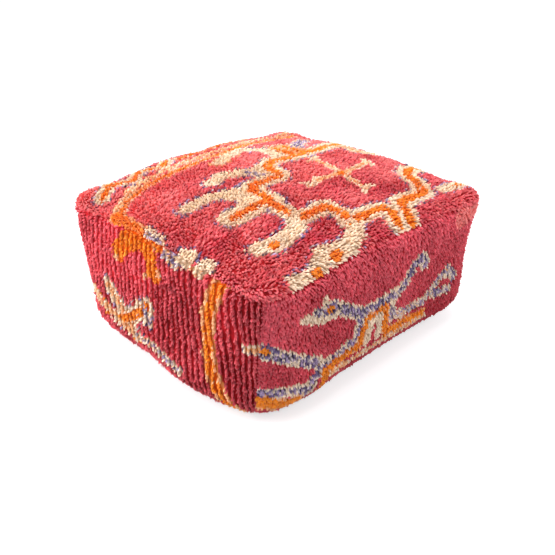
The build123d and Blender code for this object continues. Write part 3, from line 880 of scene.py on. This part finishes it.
def tuft(number):
    """A tuft of a few strands, one unit long and about one unit wide, leaning over towards +X."""
    chance = np.random.default_rng(40 + number)
    points, faces, heights, inner = [], [], [], []
    for strand in range(STRANDS):
        angle = strand * math.tau / STRANDS + chance.uniform(-0.5, 0.5)
        outwards = np.array([math.cos(angle), math.sin(angle), 0])
        spread = chance.uniform(0.14, 0.34)
        length = chance.uniform(0.78, 1.06)
        twist = chance.uniform(0, math.tau)
        for height, radius in ((0.0, 0.17), (0.76, 0.27), (1.0, 0.0)):
            bend = np.array([0.2 * height**2, 0, height * length])
            centre = outwards * (0.14 + spread * height**1.5) + bend
            corners = 3 if radius else 1
            for corner in range(corners):
                turn = twist + corner * math.tau / 3
                points.append(centre + radius * np.array([math.cos(turn), math.sin(turn), 0]))
                heights.append(height)
                across = 0.08 + 0.42 * corner if radius else 0.5
                inner.append(((strand + across) / STRANDS, 0.03 + 0.94 * height, 0))
        base = strand * 7
        for corner in range(3):
            after = (corner + 1) % 3
            faces.append((base + corner, base + after, base + 3 + after, base + 3 + corner))
            faces.append((base + 3 + corner, base + 3 + after, base + 6))
        faces.append((base + 2, base + 1, base))
    thing = mesh_object(f"tuft_{number}", np.array(points), faces)
    store(thing.data, "height", "FLOAT", np.array(heights, np.float32))
    store(thing.data, "inner", "FLOAT_VECTOR", np.array(inner, np.float32))
    return thing


def tuft_kinds():
    """The collection of tufts that the pile is worked from."""
    kinds = bpy.data.collections.new("tufts")
    for number in range(TUFT_KINDS):
        thing = tuft(number)
        bpy.context.scene.collection.objects.unlink(thing)
        kinds.objects.link(thing)
    return kinds


def pile_tree():
    """Geometry Nodes that set a tuft on every knot, turned and sized as the knot says."""
    group = bpy.data.node_groups.new("pile", "GeometryNodeTree")
    group.interface.new_socket("Geometry", in_out="OUTPUT", socket_type="NodeSocketGeometry")
    wanted = {"Geometry": "Geometry", "Tufts": "Collection", "Length": "Float", "Width": "Float",
              "Seed": "Int", "Wool": "Material"}
    for name, kind in wanted.items():
        group.interface.new_socket(name, in_out="INPUT", socket_type=f"NodeSocket{kind}")
    pile = Nodes(group)

    def given(name):
        return pile.node("NodeGroupInput", output=name)

    def named(kind, name):
        settings = {"data_type": kind}
        return pile.node("GeometryNodeInputNamedAttribute", settings, {"Name": name}, "Attribute")

    sockets = {"Collection": given("Tufts"), "Separate Children": True, "Reset Children": True}
    tufts = pile.node("GeometryNodeCollectionInfo", None, sockets)
    turn = pile.node("FunctionNodeEulerToRotation", None, {0: named("FLOAT_VECTOR", "turn")})
    sockets = {2: 0.8, 3: 1.2, "Seed": given("Seed")}
    chance = pile.node("FunctionNodeRandomValue", {"data_type": "FLOAT"}, sockets, output=1)
    sockets = {0: given("Width"), 1: given("Width"), 2: chance * given("Length")}
    size = pile.node("ShaderNodeCombineXYZ", None, sockets)
    sockets = {0: size, "Scale": named("FLOAT", "size")}
    sized = pile.node("ShaderNodeVectorMath", {"operation": "SCALE"}, sockets)
    sockets = {"Points": given("Geometry"), "Instance": tufts, "Pick Instance": True,
               "Instance Index": named("INT", "kind"), "Rotation": turn, "Scale": sized}
    placed = pile.node("GeometryNodeInstanceOnPoints", None, sockets)
    plain = pile.node("GeometryNodeRealizeInstances", None, {0: placed})
    wool = pile.node("GeometryNodeSetMaterial", None, {"Geometry": plain, "Material": given("Wool")})
    pile.node("NodeGroupOutput", None, {0: wool})
    return group


def turned(direction, lean):
    """Euler angles that point a tuft's length along direction and its bend along lean."""
    z = direction / np.linalg.norm(direction, axis=1, keepdims=True)
    x = lean - np.sum(lean * z, 1, keepdims=True) * z
    x /= np.maximum(np.linalg.norm(x, axis=1, keepdims=True), 1e-9)
    y = np.cross(z, x)
    about_y = -np.arcsin(np.clip(x[:, 2], -1, 1))
    about_x = np.arctan2(y[:, 2], z[:, 2])
    about_z = np.arctan2(x[:, 1], x[:, 0])
    return np.stack([about_x, about_y, about_z], -1)


def rows_and_columns(side, length, half):
    """Where the knots of one side start: across from its middle and up from its base seam."""
    if side in ("left", "right"):
        ribs = np.arange(-half + FIRST_RIB, half, RIB)
        columns = np.concatenate([ribs - RIB_SPREAD / 2, ribs + RIB_SPREAD / 2])
        inwards = np.concatenate([np.ones(len(ribs)), -np.ones(len(ribs))])
        rows = np.arange(FIRST_KNOT, length, KNOT)
    else:
        columns = np.arange(-half + FIRST_KNOT, half, KNOT)
        inwards = np.zeros(len(columns))
        rows = np.arange(FIRST_KNOT, length, BAND_ROW)
    across, up = (v.ravel() for v in np.meshgrid(columns, rows, indexing="ij"))
    return across, up, np.repeat(inwards, len(rows))


def knots(side, points):
    """One side's knots: shares of its grid's two ways, and how near each is to its rib and its seams."""
    chance = np.random.default_rng(sum(map(ord, side)))
    middle = points[points.shape[0] // 2]
    up = np.concatenate([[0], np.cumsum(np.linalg.norm(np.diff(middle, axis=0), axis=1))])
    half = HALF_Y if side in ("left", "right") else HALF_X
    across, risen, inwards = rows_and_columns(side, up[-1], half)
    plan = np.stack([across, risen], -1)
    across = across + chance.normal(0, KNOT_STRAY[0], len(across)) + ROW_DRIFT[0] * clouds(plan, 0.06, 21)
    across += np.abs(inwards) * RIB_DRIFT * clouds(plan * (1.0, 0.7), 0.03, 23)
    risen = risen + chance.normal(0, KNOT_STRAY[1], len(risen)) + ROW_DRIFT[1] * clouds(plan, 0.05, 22)
    share_up = np.interp(risen, up, np.linspace(0, 1, len(up)))
    widths = np.linalg.norm(np.diff(points, axis=0), axis=-1).sum(0) / 2
    width = np.interp(share_up * (len(widths) - 1), np.arange(len(widths)), widths)
    keep = (np.abs(across) < width) & (risen > 0) & (risen < up[-1])
    across, risen, share_up, width = across[keep], risen[keep], share_up[keep], width[keep]
    to_side = np.sign(across) * np.exp(-(((width - np.abs(across)) / SEAM_COVER) ** 2))
    to_top = np.exp(-(((up[-1] - risen) / SEAM_COVER) ** 2))
    return (across / width + 1) / 2, share_up, inwards[keep], to_side, to_top


def cells(plan):
    """A square cell of the OFBake map for each tuft, with neighbours in the rug side by side."""
    side = math.ceil(math.sqrt(len(plan)))
    cell = np.zeros((len(plan), 3), np.float32)
    order = np.argsort(plan[:, 0], kind="stable")
    for column, chosen in enumerate(np.array_split(order, side)):
        rows = chosen[np.argsort(plan[chosen, 1], kind="stable")]
        cell[rows, 0] = column
        cell[rows, 1] = np.arange(len(rows))
    return (cell + 0.03) / (side + 1), 0.94 / (side + 1)


# How the pile lies: its tilt from upright in degrees and how much that varies, and how far tufts
# stray sideways
LIE = {
    "top": {"tilt": 56, "vary": 12, "stray": 0.35},
    "front": {"tilt": 56, "vary": 10, "stray": 0.25},
    "back": {"tilt": 56, "vary": 10, "stray": 0.25},
    "left": {"tilt": 60, "vary": 13, "stray": 0.20},
    "right": {"tilt": 60, "vary": 13, "stray": 0.20},
}
TOP_TILT = 36  # where the band faces up


def lie(side, outwards, plan, chance):
    """Which way each tuft grows, and which way it bends."""
    count = len(plan)
    lay = LIE[side]
    if side == "top":
        middle = np.clip(1 - (plan[:, 1] / HALF_Y) ** 4, 0, 1)
        forwards = -1.2 + middle * clouds(plan, 0.05, 6)
        fall = np.stack([1.6 * middle * clouds(plan, 0.035, 5), forwards, np.zeros(count)], -1)
    else:
        fall = np.tile([0.0, 0.0, -1.0], (count, 1))
    fall = fall - np.sum(fall * outwards, 1, keepdims=True) * outwards
    fall /= np.maximum(np.linalg.norm(fall, axis=1, keepdims=True), 1e-6)
    across = np.cross(outwards, fall)
    sideways = lay["stray"] * chance.normal(0, 1, count) + 0.22 * clouds(plan, 0.02, 9)
    fall = fall + sideways[:, None] * across
    upward = np.clip(outwards[:, 2], 0, 1) ** 2 if side in ("front", "back", "top") else 0
    tilt = lay["tilt"] + (TOP_TILT - lay["tilt"]) * upward + lay["vary"] * chance.normal(0, 1, count)
    tilt = np.radians(tilt)[:, None]
    return outwards * np.cos(tilt) + fall * np.sin(tilt), fall


def work_pile(side, points, tree, kinds, wool):
    """The pile of one side, as a few plain meshes."""
    chance = np.random.default_rng(7 + sum(map(ord, side)))
    a, b, inwards, to_side, to_top = knots(side, points)
    places = between(points, a, b)
    outwards = between(normals_of(points), a, b)
    outwards /= np.linalg.norm(outwards, axis=1, keepdims=True)
    plan = plan_of(side, places)
    direction, bend = lie(side, outwards, plan, chance)
    across, upward = (between(np.gradient(points, axis=axis), a, b) for axis in (0, 1))
    across /= np.linalg.norm(across, axis=1, keepdims=True)
    upward /= np.linalg.norm(upward, axis=1, keepdims=True)
    hidden = 0.5 if side == "top" else np.clip((places[:, 2] - 0.13) / 0.06, 0, 1)
    direction += (RIB_LEAN * inwards + SIDE_LEAN * hidden * to_side)[:, None] * across
    if side in ("left", "right"):
        direction += TOP_LEAN * to_top[:, None] * upward
    direction /= np.linalg.norm(direction, axis=1, keepdims=True)
    size = pile_at(places[:, 2]) / PILE * (1 + 0.30 * np.abs(inwards) * clouds(plan, 0.011, 31))
    room = np.maximum(places[:, 2] - FLOOR_GAP, 0) / np.maximum(-direction[:, 2], 1e-3)
    size = np.minimum(size, np.maximum(room / (LONGEST_TUFT * TUFT_LENGTH), LEAST_TUFT))
    tips = places + direction * (0.6 * TUFT_LENGTH * size)[:, None]
    # the knots' dye, with the painted shade slope of their side
    dye = dye_and_painted_shade(plan_of(side, tips), *SIDES[side], 11 + sum(map(ord, side)))

    order = np.argsort(plan[:, 0], kind="stable")
    pieces = []
    for number, chosen in enumerate(np.array_split(order, PARTS[side])):
        thing = mesh_object(f"rug_pile_{side}_{number + 1}", places[chosen], [])
        cell, cell_size = cells(plan[chosen])
        store(thing.data, "turn", "FLOAT_VECTOR", turned(direction, bend)[chosen].astype(np.float32))
        store(thing.data, "size", "FLOAT", size[chosen].astype(np.float32))
        store(thing.data, "kind", "INT", chance.integers(0, TUFT_KINDS, len(chosen)).astype(np.int32))
        store(thing.data, "dye", "FLOAT_COLOR", dye[chosen].astype(np.float32))
        store(thing.data, "cell", "FLOAT_VECTOR", cell)
        values = {"Tufts": kinds, "Length": TUFT_LENGTH, "Width": TUFT_WIDTH, "Seed": number, "Wool": wool}
        grown(thing, tree, values)
        lay_bake_map(thing.data, cell_size)
        pieces.append(thing)
    return pieces


def grown(thing, tree, values):
    """Runs a Geometry Nodes tree on a piece and leaves the plain mesh that it makes."""
    modifier = thing.modifiers.new(tree.name, "NODES")
    modifier.node_group = tree
    for socket in tree.interface.items_tree:
        if socket.name in values:
            modifier[socket.identifier] = values[socket.name]
    apply_modifiers(thing)


def apply_modifiers(thing):
    """Leaves a piece as the plain mesh that its modifiers make."""
    evaluated = thing.evaluated_get(bpy.context.evaluated_depsgraph_get())
    mesh = bpy.data.meshes.new_from_object(evaluated)
    thing.modifiers.clear()
    thing.data = mesh


def lay_bake_map(mesh, cell_size):
    """A UV map named OFBake, with each tuft in a cell of its own."""
    count = len(mesh.vertices)
    cell = np.empty(count * 3, np.float32)
    inner = np.empty(count * 3, np.float32)
    mesh.attributes["cell"].data.foreach_get("vector", cell)
    mesh.attributes["inner"].data.foreach_get("vector", inner)
    spots = (cell.reshape(-1, 3) + inner.reshape(-1, 3) * cell_size)[:, :2]
    corners = np.empty(len(mesh.loops), np.int32)
    mesh.loops.foreach_get("vertex_index", corners)
    layer = mesh.uv_layers.new(name="OFBake")
    layer.data.foreach_set("uv", spots[corners].ravel())
    for name in ("cell", "inner", "turn", "size", "kind"):
        if name in mesh.attributes:
            mesh.attributes.remove(mesh.attributes[name])


def foundation(side, points, material):
    """The knotted ground cloth under the pile."""
    thing = mesh_object(f"rug_foundation_{side}", points, quads_of(points), material)
    plan = plan_of(side, points.reshape(-1, 3))
    # the same dye and painted shade slope as the pile above it
    dye = dye_and_painted_shade(plan, *SIDES[side], 11 + sum(map(ord, side)))
    store(thing.data, "dye", "FLOAT_COLOR", dye.astype(np.float32))
    return thing


# ---------------------------------------------------------------- under the cover


def hollow(x, y, wider=0.0):
    """How far the base rises over the zip: 0 at the hollow's foot, 1 on its roof."""
    straight, radius = FOOT[0], FOOT[1] + wider
    longer, narrower = ROOF[0] - FOOT[0], FOOT[1] - ROOF[1]
    side = np.clip((radius - np.abs(y)) / narrower, 0, 1)
    past = np.maximum(np.abs(x) - straight, 0)
    a = narrower**2 - longer**2
    b = longer * past - narrower * radius
    end = (-b - np.sqrt(b * b - a * (radius**2 - past**2 - y**2))) / a
    return np.where(past < longer * side, side, np.clip(end, 0, 1))


def drawn_in(panels, depth):
    """The cover's five sides and its base, all moved inwards by depth."""
    thin = {side: points[::2, ::2] for side, points in panels.items()}
    thin["base"] = base_patch(thin)
    places, faces = places_and_faces(thin.values())
    form = bmesh.new()
    corners = [form.verts.new(place) for place in places]
    for face in faces:
        form.faces.new([corners[index] for index in face])
    bmesh.ops.remove_doubles(form, verts=form.verts, dist=WELD)
    bmesh.ops.recalc_face_normals(form, faces=form.faces)
    form.normal_update()
    tree = finder([corner.co for corner in form.verts])
    inwards = np.array([-corner.normal for corner in form.verts])
    form.free()
    result = {}
    for side, grid in thin.items():
        nearest = [tree.find(place)[1] for place in grid.reshape(-1, 3)]
        result[side] = grid + depth * inwards[nearest].reshape(grid.shape)
    x, y, z = np.moveaxis(result["base"], -1, 0)
    room = ZIP_ROOM * hollow(x, y, ZIP_ROOM_SPREAD)
    z[:] = thin["base"][..., 2] + depth - LINER_DEPTH + LINER_RISE + room
    return result


def one_mesh(name, grids, material):
    """Several grids as one mesh, joined where their edges meet."""
    thing = mesh_object(name, *places_and_faces(grids), material)
    weld(thing, JOIN)
    return thing


def thick_wadding(name, grids, above, material):
    """One half of the wadding: the layer between the liner and the foam, above or below the split."""
    thing = one_mesh(name, grids, material)
    form = bmesh.new()
    form.from_mesh(thing.data)
    level = Vector((0, 0, WADDING_SPLIT))
    everything = [*form.verts, *form.edges, *form.faces]
    bmesh.ops.bisect_plane(form, geom=everything, plane_co=level, plane_no=(0, 0, 1),
                           clear_inner=above, clear_outer=not above)
    drawn = Vector(WADDING_INNER)
    inner = {corner: form.verts.new(level + (corner.co - level) * drawn) for corner in list(form.verts)}
    rim = [edge.verts[:] for edge in form.edges if edge.is_boundary]
    for face in list(form.faces):
        form.faces.new([inner[corner] for corner in reversed(face.verts)])
    for first, second in rim:
        form.faces.new([first, second, inner[second], inner[first]])
    bmesh.ops.recalc_face_normals(form, faces=form.faces)
    form.to_mesh(thing.data)
    form.free()
    return thing


def thicken(thing):
    """Gives a cloth its thickness, half of it to each side."""
    modifier = thing.modifiers.new("cloth", "SOLIDIFY")
    modifier.thickness = CLOTH
    modifier.offset = 0
    apply_modifiers(thing)


def cloth_height(x, y, z):
    """Height of the base cloth: it leaves its seam's height for the hollow's roof over the zip."""
    share = hollow(x, y)
    return CLOTH_LEVEL + np.maximum(z - CLOTH_LEVEL, 0) * (1 - share) + HOLLOW_DEPTH * share


def base_half(name, patch, facing, material):
    """Half of the base cloth, from its seam to the fold beside the zip and back over itself."""
    lines = []
    for column in patch:
        edge = column[0 if facing < 0 else -1, 1]
        flat = edge + (facing * SLIT - edge) * np.linspace(0, 1, 64)
        folded = facing * np.array([SLIT, SLIT + FOLD, 0.5 * (SLIT + HEM), HEM])
        rise = np.concatenate([np.zeros(len(flat)), [FOLD_RISE, CLOTH_GAP, CLOTH_GAP, CLOTH_GAP]])
        y = np.concatenate([flat, folded])
        x, z = (np.interp(y, column[:, 1], column[:, axis]) for axis in (0, 2))
        z = cloth_height(x, y, z) + rise
        lines.append(np.stack([x, y, z], -1))
    grid = np.array(lines)
    centre = (grid[:-1, :-1] + grid[1:, 1:]) / 2
    cut_out = (np.abs(centre[..., 0]) > SLIT_END) & (np.abs(centre[..., 1]) < TAB_EDGE)
    faces = [face for face, cut in zip(quads_of(grid), cut_out.ravel()) if not cut]
    thing = mesh_object(name, grid, faces, material)
    form = bmesh.new()
    form.from_mesh(thing.data)
    bmesh.ops.delete(form, geom=[corner for corner in form.verts if not corner.link_faces], context="VERTS")
    form.to_mesh(thing.data)
    form.free()
    return thing


def base_tab(name, patch, end, material):
    """The cloth across one end of the zip."""
    y = np.linspace(-TAB_EDGE - TAB_LAP, TAB_EDGE + TAB_LAP, 40)
    lines = []
    for column in patch:
        if end * np.interp(0, column[:, 1], column[:, 0]) > TAB_START:
            x, z = (np.interp(y, column[:, 1], column[:, axis]) for axis in (0, 2))
            z = cloth_height(x, y, z) + CLOTH_GAP
            lines.append(np.stack([x, y, z], -1))
    grid = np.array(lines)
    return mesh_object(name, grid, quads_of(grid), material)


def stitch():
    """A stitch: a thread that comes up out of the cloth and goes back in, one unit long."""
    points, faces = [], []
    rings = corners = 5
    for ring in range(rings):
        share = ring / (rings - 1)
        bow = 0.6 * math.sin(math.pi * share)
        for corner in range(corners):
            turn = corner * math.tau / corners
            points.append((bow + 0.5 * math.cos(turn), 0.5 * math.sin(turn), share))
            if ring:
                after = (corner + 1) % corners
                base = ring * corners
                faces.append((base - corners + corner, base - corners + after, base + after, base + corner))
    thing = mesh_object("stitch", np.array(points), faces)
    kinds = bpy.data.collections.new("stitches")
    bpy.context.scene.collection.objects.unlink(thing)
    kinds.objects.link(thing)
    return kinds


def sew(name, places, directions, length, tree, kinds, thread):
    """A row of stitches on the cover's underside, as one plain mesh."""
    count = len(places)
    thing = mesh_object(name, places, [])
    bend = np.tile((0.0, 0.0, -1.0), (count, 1))
    store(thing.data, "turn", "FLOAT_VECTOR", turned(directions, bend).astype(np.float32))
    store(thing.data, "size", "FLOAT", np.ones(count, np.float32))
    store(thing.data, "kind", "INT", np.zeros(count, np.int32))
    grown(thing, tree, {"Tufts": kinds, "Length": length, "Width": THREAD, "Seed": 1, "Wool": thread})
    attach(thing, "cover")


def stitch_row(start, end):
    """Places for stitches along a line, and the direction along it."""
    start, end = np.array(start, float), np.array(end, float)
    length = np.linalg.norm(end - start)
    count = int(length / STITCH_PITCH)
    places = start + (end - start) * (np.arange(count) / count)[:, None]
    return places, np.tile((end - start) / length, (count, 1))


def zip_stitches(tree, kinds, thread):
    """Two rows through the base cloth and the tape on each side of the slit."""
    distances = [side * away for side in (-1, 1) for away in STITCH_ROWS]
    rows = [stitch_row((-SLIT_END, y, HOLLOW_DEPTH), (SLIT_END, y, HOLLOW_DEPTH)) for y in distances]
    places, directions = (np.concatenate(part) for part in zip(*rows))
    places[:, 2] += CLOTH_LEVEL - CLOTH / 2
    sew("zip_stitches", places, directions, STITCH, tree, kinds, thread)


def tab_stitches(patch, tree, kinds, thread):
    """A row beside each long edge of the openings, through the base cloth and its tab."""
    rows = []
    for end, column in ((-1, patch[0]), (1, patch[-1])):
        edge = abs(column[:, 0]).min() - STITCH_MARGIN
        for side in (-1, 1):
            y = side * (TAB_EDGE + 0.0016)
            places, directions = stitch_row((end * (SLIT_END + 0.002), y, 0), (end * edge, y, 0))
            seam = [[np.interp(y, line[:, 1], line[:, axis]) for axis in (0, 2)] for line in patch]
            x, z = np.array(seam).T
            places[:, 2] = cloth_height(places[:, 0], y, np.interp(places[:, 0], x, z))
            rows.append((places, directions))
    places, directions = (np.concatenate(part) for part in zip(*rows))
    places[:, 2] -= CLOTH / 2
    sew("tab_stitches", places, directions, STITCH, tree, kinds, thread)


def whip_stitches(patch, tree, kinds, thread):
    """Thread over the seam between the rug and the base cloth, slanting as the hand goes round."""
    loop = np.concatenate([patch[:, 0], patch[-1, 1:], patch[-2::-1, -1], patch[0, -2:0:-1]])
    steps = np.linalg.norm(np.diff(loop, axis=0, append=loop[:1]), axis=1)
    along = np.concatenate([[0], np.cumsum(steps)])
    closed = np.concatenate([loop, loop[:1]])
    at = np.arange(0, along[-1], WHIP_PITCH)
    places, ahead = (
        np.stack([np.interp((at + shift) % along[-1], along, closed[:, axis]) for axis in range(3)], -1)
        for shift in (0, 0.004)
    )
    tangent = ahead - places
    tangent /= np.linalg.norm(tangent, axis=1, keepdims=True)
    outwards = np.cross(tangent, (0, 0, 1))
    direction = outwards + 0.5 * tangent + np.array([0, 0, 0.15])
    direction /= np.linalg.norm(direction, axis=1, keepdims=True)
    places = places - 0.45 * WHIP * direction
    places[:, 2] = np.maximum(places[:, 2] - WHIP_SINK, WHIP_LEVEL)
    sew("base_seam_stitches", places, direction, WHIP, tree, kinds, thread)


# ---------------------------------------------------------------- the other materials


def woven(finish, pitch):
    """Over-and-under ridges of a plain weave, 0..1, on faces that look any way."""
    across, along, up = finish.axes(finish.place())

    def ridges(value):
        return finish.node("ShaderNodeMath", {"operation": "SINE"}, {0: value * (math.tau / pitch)})

    return 0.5 + 0.5 * ridges(across + 0.37 * up) * ridges(along + 0.61 * up)


def cloth_finish(name, dark, light, pitch, relief):
    """Plain woven cotton with slubs and a little soiling."""
    finish = Finish(name)
    weave = woven(finish, pitch)
    soiling = finish.noise(finish.place(), 9.0, 4.0, 0.6)
    slubs = finish.noise(finish.stretched(finish.place(), (40.0, 600.0, 300.0)), 1.0, 2.0, 0.5)
    tone = finish.mix(finish.rise(soiling, 0.35, 0.65), dark, light)
    threads = finish.mix(weave * 0.45 + slubs * 0.4, tone, WHITE, "SOFT_LIGHT")
    height = weave * 0.7 + slubs * 0.5
    return finish.surface(Base_Color=threads, Roughness=0.9, Specular_IOR_Level=0.2, Sheen_Weight=0.2,
                          Normal=finish.bump(height, 0.7, relief))


def thread_finish():
    """Twisted linen thread, drawn through wax."""
    finish = Finish("waxed thread")
    twist = finish.noise(finish.place(), 1500.0, 2.0, 0.6)
    tone = finish.mix(twist, (0.62, 0.52, 0.38, 1), (0.86, 0.78, 0.62, 1))
    return finish.surface(Base_Color=tone, Roughness=0.55, Normal=finish.bump(twist, 0.5, 0.0002))


def brass_finish():
    """Cast brass, duller in patches, with fine rubbing marks."""
    finish = Finish("zip brass")
    dull = finish.rise(finish.noise(finish.place(), 160.0, 4.0, 0.6), 0.35, 0.7)
    marks = finish.noise(finish.stretched(finish.place(), (300.0, 2600.0, 2600.0)), 1.0, 2.0, 0.6)
    tone = finish.mix(dull, (0.78, 0.56, 0.25, 1), (0.42, 0.28, 0.12, 1))
    return finish.surface(Base_Color=tone, Metallic=1.0, Roughness=0.26 + 0.22 * marks,
                          Normal=finish.bump(marks, 0.25, 0.00015))


def foam_finish():
    """Open-cell foam, darker in the middle of each pore as painted shade in its hollows."""
    finish = Finish("seat foam")
    pores = finish.node("ShaderNodeTexVoronoi", None, {"Vector": finish.place(), "Scale": 420.0})
    tone = finish.mix(finish.rise(pores, 0.0, 0.5), (0.46, 0.36, 0.18, 1), (0.86, 0.76, 0.48, 1))
    return finish.surface(Base_Color=tone, Roughness=0.95, Normal=finish.bump(pores, 0.8, 0.0012))


def wadding_finish():
    """Matted cotton fibres."""
    finish = Finish("cotton wadding")
    fibres = finish.noise(finish.stretched(finish.place(), (90.0, 400.0, 260.0)), 1.0, 5.0, 0.7)
    lumps = finish.noise(finish.place(), 30.0, 3.0, 0.6)
    tone = finish.mix(fibres, (0.66, 0.63, 0.56, 1), (0.90, 0.89, 0.85, 1))
    return finish.surface(Base_Color=tone, Roughness=1.0, Sheen_Weight=0.3,
                          Normal=finish.bump(fibres * 0.5 + lumps, 0.8, 0.003))


def add_inner_layers(panels):
    """The liner and the wadding, which follow the filled cover from inside."""
    calico = cloth_finish("calico", (0.66, 0.60, 0.48, 1), (0.84, 0.80, 0.70, 1), 0.0011, 0.0004)
    fibres = wadding_finish()
    liner = drawn_in(panels, LINER_DEPTH)
    sides = [liner[side] for side in ("front", "back", "left", "right")]
    pieces = {
        "liner_cloth_top": ([liner["top"]], "liner_top"),
        "liner_cloth_sides": (sides, "liner_gusset"),
        "liner_cloth_base": ([liner["base"]], "liner_bottom"),
    }
    for name, (grids, node) in pieces.items():
        thing = one_mesh(name, grids, calico)
        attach(thing, "cover")
        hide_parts(node)
    layer = drawn_in(panels, WADDING_DEPTH)
    for half in ("upper", "lower"):
        thing = thick_wadding(f"wadding_layer_{half}", list(layer.values()), half == "upper", fibres)
        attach(thing, "cover")
        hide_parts(f"wadding_{half}")


def add_base(panels, tree):
    """The base cloth in two halves and two tabs, and its stitches."""
    cotton = cloth_finish("base cotton", (0.52, 0.42, 0.30, 1), (0.68, 0.59, 0.45, 1), 0.0016, 0.0006)
    thread = thread_finish()
    patch = base_patch(panels)
    made = {
        "base_cloth_front": base_half("base_sheet_front", patch, -1, cotton),
        "base_cloth_back": base_half("base_sheet_back", patch, 1, cotton),
        "base_tab_left": base_tab("base_tab_cloth_left", patch, -1, cotton),
        "base_tab_right": base_tab("base_tab_cloth_right", patch, 1, cotton),
    }
    for node, thing in made.items():
        thicken(thing)
        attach(thing, "cover")
        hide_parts(node)
    kinds = stitch()
    zip_stitches(tree, kinds, thread)
    tab_stitches(patch, tree, kinds, thread)
    whip_stitches(patch, tree, kinds, thread)


def finish_zip():
    """Better materials on the pieces whose shape needs nothing more."""
    brass = brass_finish()
    tape = cloth_finish("zip tape", (0.20, 0.035, 0.035, 1), (0.26, 0.05, 0.045, 1), 0.0009, 0.0003)
    foam = foam_finish()
    chosen = {"zip_tape_front": tape, "zip_tape_back": tape, "foam_core": foam}
    for node in ("teeth_front", "teeth_back", "top_stops", "bottom_stop", "slider", "pull"):
        chosen["zip_" + node] = brass
    for node, material in chosen.items():
        for slot in bpy.data.objects[node].material_slots:
            slot.material = material


panels = build_panels()
panels = stuffed(panels)
# Three copies of one wool that differ only in their painted root shade: lightest on the top, darker on the
# band, darkest on the end panels
top_wool = wool_finish("top wool", 1.25, 1.0)
band_wool = wool_finish("band wool", 1.5, 0.80)
end_wool = wool_finish("end panel wool", 2.0, 0.55)
ground_weave = foundation_finish()
kinds = tuft_kinds()
tree = pile_tree()
for side, points in panels.items():
    wool = {"top": top_wool, "front": band_wool, "back": band_wool}.get(side, end_wool)
    slot = "rug_end" if side in ("left", "right") else "rug_band"
    for piece in work_pile(side, points, tree, kinds, wool):
        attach(piece, "cover")
    ground = foundation(side, points, ground_weave)
    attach(ground, "cover")

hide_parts("rug_wrap_panel")
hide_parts("rug_end_panel_left")
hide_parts("rug_end_panel_right")

add_inner_layers(panels)
add_base(panels, tree)
finish_zip()
